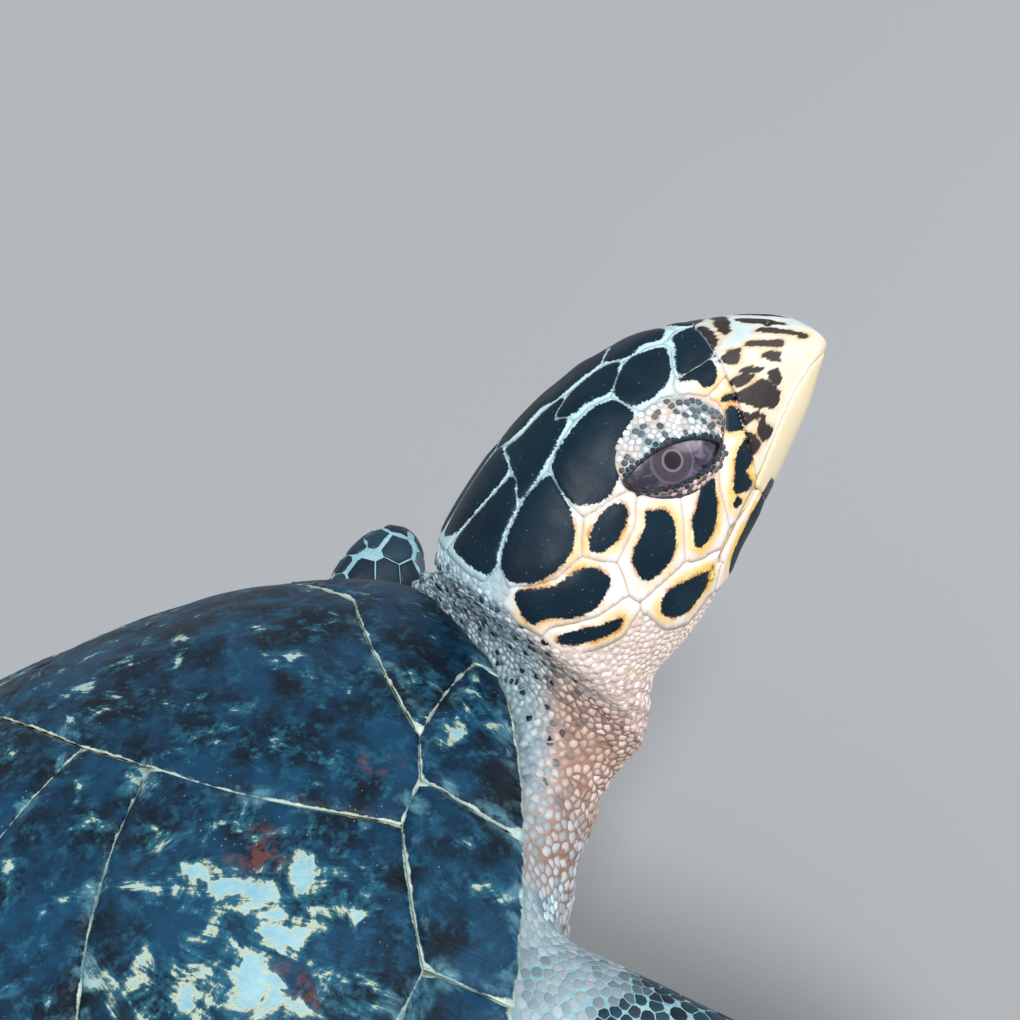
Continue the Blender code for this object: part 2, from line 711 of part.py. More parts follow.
def claw(name, station, side, collection, radius):
    """Cone on the leading edge of a blade at a station, pointing to its tip."""
    centre, across, reach, _ = station
    chord = Vector((across[0] * side, across[1], across[2])).normalized()
    root = Vector((centre[0] * side, centre[1], centre[2])) - chord * (reach - CLAW_ROOTED)
    bm = bmesh.new()
    turn = Vector((0, 0, 1)).rotation_difference(-chord).to_matrix().to_4x4()
    middle = Matrix.Translation(root - chord * CLAW_LENGTH / 2) @ turn
    bmesh.ops.create_cone(bm, cap_ends=True, segments=10, radius1=radius, radius2=radius / 5,
                          depth=CLAW_LENGTH, matrix=middle)
    return object_from(mesh_from(bm, name), name, collection)


def build_flippers(collection, cutters):
    for name, side in SIDES.items():
        limbs = {'front': (FRONT_FLIPPERS[name], 1), 'hind': (HIND_FLIPPER, side)}
        for end, (stations, mirror) in limbs.items():
            flipper = limb(f'flipper_{end}_{name}', stations, mirror, collection, cutters)
            station = stations[CLAW_AT]
            socket = claw(f'claw_socket_{end}_{name}', station, mirror, cutters,
                          CLAW_RADIUS + GAP)
            boolean(flipper, as_cutter(socket), 'DIFFERENCE')
            apply_modifiers(flipper)
            finish(flipper, 'skin')
            nail = claw(f'claw_{end}_{name}', station, mirror, collection, CLAW_RADIUS)
            finish(nail, 'claw')


def build_tail(collection, cutters):
    rings = [
        rib(Vector((0, 0.27, 0.010)), Vector((0, 0.27, -0.046)), Vector((0.034, 0, 0)), 12),
        rib(Vector((0, 0.32, -0.004)), Vector((0, 0.32, -0.046)), Vector((0.024, 0, 0)), 12),
        rib(Vector((0, 0.36, -0.018)), Vector((0, 0.36, -0.046)), Vector((0.014, 0, 0)), 12),
        rib(Vector((0, 0.392, -0.034)), Vector((0, 0.394, -0.046)), Vector((0.005, 0, 0)), 12),
    ]
    tail = loft(rings, 'tail', collection)
    clear_of_trunk(tail, cutters)
    finish(tail, 'skin')


# ---------------------------------------------------------------- stand
def build_stand(collection, cutters):
    bm = bmesh.new()
    bmesh.ops.create_cube(bm, size=1.0, matrix=Matrix.Diagonal((*BASE_SIZE, 1.0)))
    base = object_from(mesh_from(bm, 'stand_base'), 'stand_base', collection)
    base.location = (0, 0, BASE_SIZE[2] / 2)
    edge = base.modifiers.new('edge', 'BEVEL')
    edge.width = BASE_EDGE
    edge.segments = 2
    finish(base, 'stand')
    for name, y in ROD_PLACES.items():
        foot = BASE_SIZE[2] + GAP - RIM_HEIGHT
        head = underside(0, y) + PLATE / 2
        bm = bmesh.new()
        middle = Matrix.Translation((0, y, (foot + head) / 2))
        bmesh.ops.create_cone(bm, cap_ends=True, segments=ROD_SIDES, radius1=ROD_RADIUS,
                              radius2=ROD_RADIUS, depth=head - foot, matrix=middle)
        rod = object_from(mesh_from(bm, f'stand_rod_{name}'), f'stand_rod_{name}', collection)
        boolean(rod, cutters.objects['plastron_clearance'], 'DIFFERENCE')
        apply_modifiers(rod)
        finish(rod, 'rod')


# ---------------------------------------------------------------- whole model
def hang_from(empty, collection):
    for item in collection.objects:
        if item.parent is None and item.name != 'stand_base':
            item.parent = empty


def build():
    clear_scene()
    parts = new_collection('hawksbill_turtle')
    cutters = new_collection('cutters')
    centre = bpy.data.objects.new('shell_centre', None)
    head_frame = bpy.data.objects.new('head_frame', None)
    for empty in (centre, head_frame):
        cutters.objects.link(empty)
    build_carapace(parts, cutters)
    build_plastron(parts, cutters)
    build_trunk(parts, cutters)
    build_clearances(cutters)
    build_neck(parts, cutters)
    build_flippers(parts, cutters)
    build_tail(parts, cutters)
    build_head(parts, cutters, head_frame)
    build_eyes(parts, head_frame)
    build_stand(parts, cutters)
    head_frame.location = HEAD_PLACE
    head_frame.rotation_mode = 'YXZ'
    head_frame.rotation_euler = HEAD_TURN
    head_frame.parent = centre
    hang_from(centre, parts)
    centre.location = (0, 0, RIM_HEIGHT)


build()
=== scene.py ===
"""Looks of the hawksbill sea turtle: its shell plates, one skin, scales, eyes, bill and stand.

The turtle faces -Y with its left side at +X, over the centre of the stand.  The shell is
drawn in millimetres about its own centre, in the plane of its rim, and the head in its own
frame, whose origin lies midway between the eyes.
"""
import math

import bmesh
import bpy
import numpy as np
from mathutils import Euler, Matrix, Vector, bvhtree, kdtree, noise


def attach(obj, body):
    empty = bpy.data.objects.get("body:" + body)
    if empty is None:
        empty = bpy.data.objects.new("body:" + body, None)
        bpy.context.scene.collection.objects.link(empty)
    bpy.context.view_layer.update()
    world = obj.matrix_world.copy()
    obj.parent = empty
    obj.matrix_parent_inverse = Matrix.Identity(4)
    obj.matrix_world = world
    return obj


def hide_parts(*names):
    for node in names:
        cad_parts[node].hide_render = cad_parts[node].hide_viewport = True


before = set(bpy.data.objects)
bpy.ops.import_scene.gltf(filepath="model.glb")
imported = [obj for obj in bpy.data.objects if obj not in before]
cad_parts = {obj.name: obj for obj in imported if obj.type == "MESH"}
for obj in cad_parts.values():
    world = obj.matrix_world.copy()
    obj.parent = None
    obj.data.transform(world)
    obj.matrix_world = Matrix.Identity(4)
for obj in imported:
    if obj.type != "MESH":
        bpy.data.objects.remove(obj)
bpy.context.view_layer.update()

MM = 0.001
RIM_HEIGHT = 0.36            # rim plane of the shell above the underside of the stand
SEED = 7
SIDES = {'left': 1, 'right': -1}

HEAD_PLACE = Vector((-0.056, -0.435, 0.063 + RIM_HEIGHT))
HEAD_TURN = Euler((math.radians(-10.9), math.radians(13.8), math.radians(-7.5)), 'YXZ')
HEAD = Matrix.LocRotScale(HEAD_PLACE, HEAD_TURN, None)


# ---------------------------------------------------------------- camera, floor, light
CAMERA_PLACE = (-0.4242, -0.2960, 0.6310)
CAMERA_RIGHT = (-0.436, -0.710, -0.554)
CAMERA_AHEAD = (0.876, -0.192, -0.443)
CAMERA_LENS = 40.76
SKY = (0.45, 0.475, 0.50)
SUN_POWER = 2.4
SUN_PLACE = (-2.5, 0.10, 2.0)
SUN_COLOUR = (1.0, 0.98, 0.95)
SUN_SPREAD = math.radians(14)
FILL_PLACE = (-1.0, -1.6, 0.7)
FILL_TARGET = (-0.05, -0.4, 0.4)
FILL_POWER = 6
FILL_COLOUR = (1.0, 0.98, 0.96)
FILL_SIZE = 0.9
FLOOR_REACH = 400.0


def build_camera():
    ahead = Vector(CAMERA_AHEAD).normalized()
    right = Vector(CAMERA_RIGHT)
    right = (right - ahead * right.dot(ahead)).normalized()
    up = right.cross(ahead)
    camera = bpy.data.objects.new('camera', bpy.data.cameras.new('camera'))
    turn = Matrix((right, up, -ahead)).transposed().to_4x4()
    camera.matrix_world = Matrix.Translation(CAMERA_PLACE) @ turn
    camera.data.sensor_width = 36
    camera.data.lens = CAMERA_LENS
    camera.data.clip_start = 0.01
    bpy.context.scene.collection.objects.link(camera)
    bpy.context.scene.camera = camera


def place_light(name, kind, place, target, power, colour, **settings):
    lamp = bpy.data.lights.new(name, kind)
    lamp.energy = power
    lamp.color = colour
    for key, value in settings.items():
        setattr(lamp, key, value)
    item = bpy.data.objects.new(name, lamp)
    item.location = place
    item.rotation_euler = (Vector(target) - Vector(place)).to_track_quat('-Z', 'Y').to_euler()
    bpy.context.scene.collection.objects.link(item)


def build_light():
    """Even pale sky, a soft sun from over the camera, and a large fill from the front."""
    bpy.context.scene.view_settings.view_transform = 'Standard'
    world = bpy.data.worlds.new('studio')
    world.use_nodes = True
    sky = world.node_tree.nodes['Background']
    sky.inputs['Color'].default_value = (*SKY, 1)
    sky.inputs['Strength'].default_value = 1.0
    bpy.context.scene.world = world
    place_light('key', 'SUN', SUN_PLACE, (0, 0, 0), SUN_POWER, SUN_COLOUR, angle=SUN_SPREAD)
    place_light('fill', 'AREA', FILL_PLACE, FILL_TARGET, FILL_POWER, FILL_COLOUR,
                shape='DISK', size=FILL_SIZE)


def build_floor():
    """Pale floor that runs out to the horizon, as bright as the sky over it."""
    bm = bmesh.new()
    bmesh.ops.create_circle(bm, cap_ends=True, segments=96, radius=FLOOR_REACH)
    new_piece(bm, 'floor', pale_floor())


# ---------------------------------------------------------------- node helpers
class Finish:
    """A procedural material being put together from nodes.

    Wherever a number is asked for, a name stands for the number that the mesh stores under it.
    """

    def __init__(self, name):
        self.material = bpy.data.materials.new(name)
        self.material.use_nodes = True
        self.tree = self.material.node_tree
        self.shader = self.tree.nodes['Principled BSDF']
        self.place = self.add('ShaderNodeTexCoord').outputs['Object']

    def add(self, kind, inputs=None, **settings):
        node = self.tree.nodes.new(kind)
        for key, value in settings.items():
            setattr(node, key, value)
        for key, value in (inputs or {}).items():
            self.feed(node.inputs[key], value)
        return node

    def feed(self, socket, value):
        if isinstance(value, str):
            value = self.value(value)
        if isinstance(value, bpy.types.NodeSocket):
            self.tree.links.new(value, socket)
        elif isinstance(value, tuple) and len(value) == 3 and socket.type == 'RGBA':
            socket.default_value = (*value, 1.0)
        else:
            socket.default_value = value

    def value(self, name, output='Fac'):
        """Number or vector stored on the mesh."""
        return self.add('ShaderNodeAttribute', attribute_name=name).outputs[output]

    def noise(self, scale, detail=3.0, rough=0.5, at=None, warp=0.0):
        inputs = {'Vector': at or self.place, 'Scale': scale, 'Detail': detail,
                  'Roughness': rough, 'Distortion': warp}
        return self.add('ShaderNodeTexNoise', inputs).outputs['Fac']

    def cells(self, scale, feature='F1'):
        inputs = {'Vector': self.place, 'Scale': scale}
        return self.add('ShaderNodeTexVoronoi', inputs, feature=feature).outputs['Distance']

    def calc(self, how, a, b=0.0):
        node = self.add('ShaderNodeMath', operation=how)
        self.feed(node.inputs[0], a)
        self.feed(node.inputs[1], b)
        return node.outputs[0]

    def plus(self, a, b):
        return self.calc('ADD', a, b)

    def minus(self, a, b):
        return self.calc('SUBTRACT', a, b)

    def times(self, first, *others):
        for factor in others:
            first = self.calc('MULTIPLY', first, factor)
        return first

    def band(self, value, low, high):
        """0 below low, 1 above high and a smooth step between; turned over if high < low."""
        inputs = {'Value': value, 'From Min': low, 'From Max': high}
        node = self.add('ShaderNodeMapRange', inputs, interpolation_type='SMOOTHSTEP')
        return node.outputs['Result']

    def mix(self, share, first, second):
        node = self.add('ShaderNodeMix', data_type='RGBA')
        self.feed(node.inputs[0], share)
        self.feed(node.inputs[6], first)
        self.feed(node.inputs[7], second)
        return node.outputs[2]

    def cloudy(self, scale, first, second, detail=3.0, rough=0.5, at=None):
        """Colour that drifts between two in clouds."""
        return self.mix(self.noise(scale, detail, rough, at), first, second)

    def over(self, colour, *layers):
        """The colour with others laid over it in turn, each given as (share, colour)."""
        for share, top in layers:
            colour = self.mix(share, colour, top)
        return colour

    def bump(self, height, strength, distance):
        inputs = {'Height': height, 'Strength': strength, 'Distance': distance}
        normal = self.add('ShaderNodeBump', inputs).outputs['Normal']
        self.feed(self.shader.inputs['Normal'], normal)

    def done(self, colour, roughness, **numbers):
        self.feed(self.shader.inputs['Base Color'], colour)
        self.feed(self.shader.inputs['Roughness'], roughness)
        for key, value in numbers.items():
            self.feed(self.shader.inputs[key.replace('_', ' ')], value)
        return self.material


# ---------------------------------------------------------------- mesh helpers
def mesh_of(bm, name):
    """The finished bmesh as a new mesh."""
    mesh = bpy.data.meshes.new(name)
    bm.to_mesh(mesh)
    bm.free()
    return mesh


def new_piece(bm, name, finish, sharp=None):
    return piece_of(mesh_of(bm, name), name, finish, sharp)


def piece_of(mesh, name, finish, sharp=None):
    piece = bpy.data.objects.new(name, mesh)
    bpy.context.scene.collection.objects.link(piece)
    mesh.materials.clear()
    mesh.materials.append(finish)
    mesh.shade_smooth()
    if sharp:
        mesh.set_sharp_from_angle(angle=math.radians(sharp))
    return piece


def apply_modifiers(piece):
    graph = bpy.context.evaluated_depsgraph_get()
    piece.data = bpy.data.meshes.new_from_object(piece.evaluated_get(graph))
    piece.modifiers.clear()


def read(items, key, width, kind=float):
    """One property of all items of a mesh, in rows of that width."""
    flat = np.empty(len(items) * width, kind)
    items.foreach_get(key, flat)
    return flat.reshape(-1, width)


def corners_of(faces):
    return {vert for face in faces for vert in face.verts}


def whole(bm):
    return bm.verts[:] + bm.edges[:] + bm.faces[:]


def places_of(mesh):
    return read(mesh.vertices, 'co', 3)


def normals_of(mesh):
    return read(mesh.vertex_normals, 'vector', 3)


def edge_ends(mesh):
    """Numbers of the points at the near and at the far end of each edge."""
    return read(mesh.edges, 'vertices', 2, int).T


def move_to(mesh, places):
    mesh.vertices.foreach_set('co', np.ascontiguousarray(places).ravel())
    mesh.update()


def store(mesh, name, values):
    """Numbers or vectors kept on the mesh's points, for its material."""
    values = np.asarray(values, float)
    vector = values.ndim == 2
    kind, key = ('FLOAT_VECTOR', 'vector') if vector else ('FLOAT', 'value')
    layer = mesh.attributes.new(name, kind, 'POINT')
    layer.data.foreach_set(key, values.ravel())


def bake_map(mesh, spots):
    """UV map with a spot for each point of the mesh."""
    corners = read(mesh.loops, 'vertex_index', 1, int)[:, 0]
    layer = mesh.uv_layers.new(name='OFBake')
    layer.data.foreach_set('uv', spots[corners].ravel())


def give_wall(piece, thickness):
    """Thickness behind the outer face of a sheet."""
    wall = piece.modifiers.new('depth', 'SOLIDIFY')
    wall.thickness = thickness
    wall.offset = -1.0
    wall.use_even_offset = False


def even_out(mesh, rounds, wanted=None):
    """Smooth the points of a mesh some rounds, or only those that pass a test."""
    chosen = wanted(places_of(mesh)) if wanted else np.ones(len(mesh.vertices), bool)
    bm = bmesh.new()
    bm.from_mesh(mesh)
    verts = [v for v, taken in zip(bm.verts, chosen) if taken]
    for _ in range(rounds):
        bmesh.ops.smooth_vert(bm, verts=verts, factor=0.5, use_axis_x=True, use_axis_y=True,
                              use_axis_z=True)
    bm.to_mesh(mesh)
    bm.free()


def carry(piece, nodes):
    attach(piece, 'root')
    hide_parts(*nodes)
    return piece


def curve_through(points, steps):
    """Catmull-Rom curve from the second of some rows of numbers up to the last but one."""
    return [0.5 * (2 * b + (c - a) * t + (2 * a - 5 * b + 4 * c - d) * t * t
                   + (3 * b - a - 3 * c + d) * t ** 3)
            for a, b, c, d in zip(points, points[1:], points[2:], points[3:])
            for t in np.arange(steps) / steps]


def smooth_knots(knots, steps=16):
    """Smooth curve through rows of numbers."""
    points = np.array(knots, float)
    ends = np.vstack([2 * points[0] - points[1], points, 2 * points[-1] - points[-2]])
    return np.array(curve_through(ends, steps) + [points[-1]])


def smooth_loop(points, steps=4):
    """Smooth closed curve through the points."""
    points = np.array(points, float)
    return np.array(curve_through(np.vstack([points[-1], points, points[:2]]), steps))


def tree_of(spots):
    """Tree that finds the spots near a place."""
    tree = kdtree.KDTree(len(spots))
    for k, spot in enumerate(spots):
        tree.insert(spot, k)
    tree.balance()
    return tree


def ease(value, low, high):
    """Smooth step from 0 at low to 1 at high."""
    share = np.clip((value - low) / (high - low), 0, 1)
    return share * share * (3 - 2 * share)


def lumps(places, size, seed=0.0):
    """Soft noise at each place, about -0.5 to 0.5, with lumps of about that size."""
    shift = Vector((seed, 2.3 * seed, 5.1 * seed))
    return np.array([noise.noise(Vector(p) / size + shift) for p in places])


def distance_to(points, outline):
    """Distance of plan points to a closed outline, and whether they lie inside it."""
    if not len(points):
        return np.zeros(0), np.zeros(0, bool)
    start = outline[None]
    end = np.roll(outline, -1, axis=0)[None]
    here = points[:, None]
    along = end - start
    length = np.maximum((along ** 2).sum(-1), 1e-12)
    share = np.clip(((here - start) * along).sum(-1) / length, 0, 1)
    away = np.sqrt((((start + along * share[..., None]) - here) ** 2).sum(-1)).min(1)
    crosses = (start[..., 1] > here[..., 1]) != (end[..., 1] > here[..., 1])
    rise = np.where(along[..., 1] == 0, 1e-12, along[..., 1])
    x = start[..., 0] + (here[..., 1] - start[..., 1]) * along[..., 0] / rise
    inside = (crosses & (here[..., 0] < x)).sum(1) % 2 == 1
    return away, inside


DEPTH_REACH = 14.0           # depths beyond this are not worked out


def inside_depth(points, outline):
    """Distance to a closed outline, positive inside it and no less than -DEPTH_REACH."""
    low, high = outline.min(0) - DEPTH_REACH, outline.max(0) + DEPTH_REACH
    near = np.all((points > low) & (points < high), axis=1)
    depth = np.full(len(points), -DEPTH_REACH)
    away, inside = distance_to(points[near], outline)
    depth[near] = np.where(inside, away, -away)
    return depth


# ---------------------------------------------------------------- shell surfaces
# The shell as the solids have it, in millimetres: (half width, place along the body).
RIM = [(0, -342), (48, -338), (92, -322), (134, -297), (173, -264), (208, -214), (234, -154),
       (250, -82), (256, 0), (247, 84), (223, 160), (181, 238), (124, 308), (60, 351), (0, 363)]
RISE = [(-350, 4), (-327, 29), (-299, 55), (-261, 83), (-187, 124), (-93, 148),
        (0, 157), (93, 149), (187, 119), (280, 67), (350, 5)]
RIM_LEVEL = [(-350, 42), (-280, 33), (-187, 17), (-93, 6), (0, 0), (187, 0), (350, 14)]
BELLY = [(-350, 55), (-280, 86), (-150, 104), (0, 108), (150, 96), (280, 58), (350, 16)]
DOME_POWER = 1.83
PLATE_DEPTH = 5.0            # mm from the top of a shell plate to its underside
SEAM = 0.35                  # mm from a plate's edge to the middle of the seam
PLATE_GRID = 3.2             # mm between the cuts that give a plate its curve
EDGE_BANDS = (0.5, 0.9, 1.6)  # mm, rounding bands round a plate's edge

RIM_CURVE = smooth_knots(RIM)
RISE_CURVE = smooth_knots(RISE)
LEVEL_CURVE = smooth_knots(RIM_LEVEL)
BELLY_CURVE = smooth_knots(BELLY)


def along_body(curve, y):
    return np.interp(y, curve[:, 0], curve[:, 1])


def half_width(y):
    return np.maximum(np.interp(y, RIM_CURVE[:, 1], RIM_CURVE[:, 0]), 4.0)


def dome(x, y):
    share = np.minimum(np.abs(x) / half_width(y), 1.0)
    return (along_body(LEVEL_CURVE, y)
            + along_body(RISE_CURVE, y) * (1 - share ** DOME_POWER) ** 0.9)


def underside(x, y):
    share = np.minimum(np.abs(x) / half_width(y), 1.0) ** 3
    return along_body(LEVEL_CURVE, y) * share - along_body(BELLY_CURVE, y) * (1 - share)


def surface_frame(height, x, y):
    """Places in metres, and normals, on a surface given by its height in mm."""
    z = height(x, y)
    slope_x = (height(x + 1, y) - height(x - 1, y)) / 2
    slope_y = (height(x, y + 1) - height(x, y - 1)) / 2
    normals = np.column_stack([-slope_x, -slope_y, np.ones_like(z)])
    normals /= np.linalg.norm(normals, axis=1)[:, None]
    places = np.column_stack([x, y, z]) * MM + (0, 0, RIM_HEIGHT)
    return places, normals


# ---------------------------------------------------------------- outlines of the plates
CORNERS = {
    'nuchal_front': (55, -332), 'nuchal_rear': (91, -298), 'nuchal_mid': (0, -317),
    'first_side': (107, -289), 'first_low': (120, -276), 'first_back': (67, -230),
    'first_rear': (44, -216), 'first_mid': (0, -196),
    'second_wide': (86, -150), 'second_rear': (52, -78), 'second_mid': (0, -58),
    'third_wide': (84, -12), 'third_rear': (46, 62), 'third_mid': (0, 82),
    'fourth_wide': (72, 118), 'fourth_rear': (33, 196), 'fourth_mid': (0, 214),
    'fifth_wide': (62, 258), 'fifth_low': (40, 302), 'fifth_mid': (0, 306),
    'edge_2': (158, -254), 'edge_3': (190, -200), 'edge_4': (213, -134), 'edge_5': (224, -66),
    'edge_6': (225, 2), 'edge_7': (214, 70), 'edge_8': (190, 136), 'edge_9': (153, 196),
    'edge_10': (108, 246),
}
RIM_SEAMS = [-335, -299, -265, -208, -140, -68, 4, 76, 146, 210, 270, 330, 363]
INNER_CORNERS = ['nuchal_front', 'first_side', *(f'edge_{k}' for k in range(2, 11)), 'fifth_low',
                 'fifth_mid']
NOTCH_FROM = 7               # marginals behind this rank end in a point
TIP_OUT = 2                  # mm the points of the rear marginals stand out over the rim
ARC_STEPS = 6


def path(names, sags=None):
    """Plan line through named corners, each stretch bowed to its left by its own sag."""
    corners = [np.array(CORNERS[name], float) for name in names.split()]
    points = []
    for k, (a, b) in enumerate(zip(corners, corners[1:])):
        sag = sags[k] if sags else 0
        side = np.array([a[1] - b[1], b[0] - a[0]]) / np.linalg.norm(b - a)
        for t in np.arange(ARC_STEPS) / ARC_STEPS:
            points.append(a + (b - a) * t + side * sag * 4 * t * (1 - t))
    return points + [corners[-1]]


def rim_point(y, beyond=0.0):
    x = float(half_width(y))
    slope = float(half_width(y + 4) - half_width(y - 4)) / 8
    outward = np.array([1, -slope]) / math.hypot(1, slope)
    if y >= RIM[-1][1]:
        return np.array([0.0, RIM[-1][1] + beyond])
    return np.array([x, y]) + outward * beyond


def rim_path(start, end):
    """Points of the rim from one place along the body to another."""
    inner = [p for p in RIM_CURVE[::5] if min(start, end) + 3 < p[1] < max(start, end) - 3]
    inner = inner if end > start else inner[::-1]
    return [rim_point(start), *inner, rim_point(end)]


def both_sides(half):
    """Half outline that starts and ends on the midline, with its mirror image."""
    return np.array(half + [p * (-1, 1) for p in reversed(half) if p[0] > 0.5])


def middle_outlines():
    front = RIM[0][1]
    halves = {
        'nuchal': [np.array([0.0, front]), *rim_path(front, RIM_SEAMS[0])[1:],
                   *path('nuchal_front nuchal_rear nuchal_mid')],
        'vertebral_1': path('nuchal_mid nuchal_rear first_side first_low first_back first_rear '
                            'first_mid', [0, 0, 0, -4, 0, 0]),
        'vertebral_2': path('first_mid first_rear second_wide second_rear second_mid'),
        'vertebral_3': path('second_mid second_rear third_wide third_rear third_mid'),
        'vertebral_4': path('third_mid third_rear fourth_wide fourth_rear fourth_mid'),
        'vertebral_5': path('fourth_mid fourth_rear fifth_wide fifth_low fifth_mid'),
    }
    return {name: both_sides(half) for name, half in halves.items()}


def costal_outlines():
    """Outlines of the left costals."""
    loops = {
        1: path('first_low first_back edge_4 edge_3 edge_2 first_low', [-4, 9, 0, 0, 0]),
        2: path('first_back first_rear second_wide second_rear edge_6 edge_5 edge_4 first_back',
                [0, 0, 0, 5, 0, 0, -9]),
        3: path('second_rear third_wide third_rear edge_8 edge_7 edge_6 second_rear',
                [0, 0, 4, 0, 0, -5]),
        4: path('third_rear fourth_wide fourth_rear fifth_wide edge_10 edge_9 edge_8 third_rear',
                [0, 0, 0, 0, 0, 0, -4]),
    }
    return {rank: np.array(loop[:-1]) for rank, loop in loops.items()}


def marginal_outline(rank):
    """Outline of a left marginal; the rear ones end in a point at the rim."""
    names = {0: 'nuchal_front nuchal_rear first_side', 1: 'first_side first_low edge_2',
             10: 'edge_10 fifth_wide fifth_low'}
    inner = path(names.get(rank, ' '.join(INNER_CORNERS[rank:rank + 2])))
    fore, aft = RIM_SEAMS[rank], RIM_SEAMS[rank + 1]
    if rank < NOTCH_FROM:
        return np.array(inner + rim_path(aft, fore))
    tip = [rim_point(aft, -9), rim_point(aft - 3, 0), rim_point(aft - 5, TIP_OUT)]
    shoulder = [rim_point(fore + share * (aft - fore), out)
                for share, out in ((0.75, 1.6), (0.55, 1.4), (0.35, 0), (0.15, -3))]
    return np.array(inner + tip + shoulder + [rim_point(fore, -8)])


# ---------------------------------------------------------------- making a plate
def cut_grid(bm, step):
    """Cut all faces along two families of parallel lines."""
    for axis in (0, 1):
        spots = [v.co[axis] for v in bm.verts]
        low, high = min(spots), max(spots)
        count = int((high - low) / step)
        normal = Vector((1 - axis, axis, 0))
        for k in range(1, count + 1):
            at = low + (high - low) * k / (count + 1)
            bmesh.ops.bisect_plane(bm, geom=whole(bm), dist=1e-5, plane_co=normal * at,
                                   plane_no=normal)


def flat_plate(outline):
    """Flat face inside an outline, with bands along its edge, cut into a fine grid."""
    bm = bmesh.new()
    face = bm.faces.new([bm.verts.new((x, y, 0)) for x, y in outline])
    face.normal_update()
    if face.normal.z < 0:
        face.normal_flip()
    bmesh.ops.inset_region(bm, faces=[face], thickness=SEAM, use_even_offset=True)
    bmesh.ops.delete(bm, geom=[f for f in bm.faces if f is not face], context='FACES')
    for width in EDGE_BANDS:
        bmesh.ops.inset_region(bm, faces=[face], thickness=width, use_even_offset=True)
    cut_grid(bm, PLATE_GRID)
    return mesh_of(bm, 'plate')


def edge_rounding(edge, radius):
    return -radius * (1 - np.sqrt(np.clip(1 - (1 - np.clip(edge / radius, 0, 1)) ** 2, 0, 1)))


def shell_relief(places, edge, lap):
    """Height of a shell plate's outer face over the smooth dome, in mm."""
    growth = 0.11 * np.cos(edge * 2 * math.pi / 3.7) * np.exp(-edge / 16) * ease(edge, 1, 4)
    swell = 1.5 * lumps(places, 0.055) + 0.5 * lumps(places, 0.016, 3.0)
    overlap = 1.0 * ease(lap, 0.72, 1.0) - 0.9 * (1 - ease(lap, 0.0, 0.22))
    near_seam = 1 - ease(edge, 0, 26)
    return edge_rounding(edge, 1.5) + growth + swell * ease(edge, 0, 12) + overlap * near_seam


def streak_frame(plan, centre, turn):
    """Angle and reach of each point round the corner from which its plate has grown."""
    away = plan - centre
    angle = np.arctan2(away[:, 1], away[:, 0])
    reach = np.linalg.norm(away, axis=1)
    return np.column_stack([angle * 9, reach / 42, np.full(len(plan), turn)])


# Pale flecking of the shell: place in the plan (mm), reach (mm) and strength.
PALE_PLACES = [((-109, -225), 13, 0.55), ((-125, -233), 12, 0.50), ((-127, -250), 13, 0.55),
               ((-129, -268), 9, 0.40), ((-143, -231), 13, 0.45), ((-157, -235), 12, 0.40),
               ((-140, -213), 16, 0.50), ((-122, -198), 12, 0.35), ((-160, -200), 24, 0.35),
               ((-47, -253), 10, 0.42), ((-44, -286), 9, 0.34), ((-75, -257), 9, 0.36),
               ((-71, -228), 8, 0.60), ((-97, -191), 14, 0.30), ((-88, -313), 9, 0.30),
               ((-144, -279), 10, 0.32), ((-20, -225), 14, 0.22), ((-60, -190), 20, 0.22),
               ((-180, -150), 34, 0.34), ((-150, -120), 40, 0.34), ((-90, -130), 30, 0.22),
               ((-120, -60), 50, 0.30), ((-30, -120), 40, 0.20), ((-140, 60), 70, 0.28),
               ((-60, 40), 50, 0.20), ((-90, 190), 60, 0.26), ((0, 240), 50, 0.22),
               ((0, -10), 40, 0.15)]
RUST_PLACES = [((-99, -283), 6), ((-112, -240), 9), ((-150, -222), 10), ((-30, -150), 9),
               ((-120, -30), 12), ((-90, 90), 14)]


def nearness(plan, place, reach):
    """1 at a place of the plan or at its mirror image, and fading out over the reach."""
    away = np.linalg.norm(np.abs(plan) * (-1, 0) + plan * (0, 1) - place, axis=1)
    return np.exp(-(away / reach) ** 2)


def paleness(plan):
    bumps = [nearness(plan, place, reach) * strength for place, reach, strength in PALE_PLACES]
    return 0.10 + np.sum(bumps, axis=0)


def rustiness(plan):
    return np.max([nearness(plan, place, reach) for place, reach in RUST_PLACES], axis=0)


def shell_plate(name, outline, grown_from, finish, turn):
    mesh = flat_plate(outline)
    plan = places_of(mesh)[:, :2]
    edge, _ = distance_to(plan, outline)
    edge -= SEAM
    places, normals = surface_frame(dome, plan[:, 0], plan[:, 1])
    rear, fore = plan[:, 1].max(), plan[:, 1].min()
    height = shell_relief(places, edge, (plan[:, 1] - fore) / (rear - fore))
    move_to(mesh, places + normals * height[:, None] * MM)
    store(mesh, 'edge', edge)
    store(mesh, 'pale', paleness(plan))
    store(mesh, 'rust', rustiness(plan))
    store(mesh, 'streak', streak_frame(plan, np.array(grown_from), turn))
    plate = piece_of(mesh, f'scute_{name}', finish)
    give_wall(plate, PLATE_DEPTH * MM)
    carry(plate, [name])


# The place from which each plate has grown, in the plan.
MIDDLE_GROWN = {'nuchal': (0, -322), 'vertebral_1': (0, -212), 'vertebral_2': (0, -74),
                'vertebral_3': (0, 66), 'vertebral_4': (0, 200), 'vertebral_5': (0, 296)}
COSTAL_GROWN = {1: (92, -190), 2: (72, -78), 3: (66, 60), 4: (58, 190)}


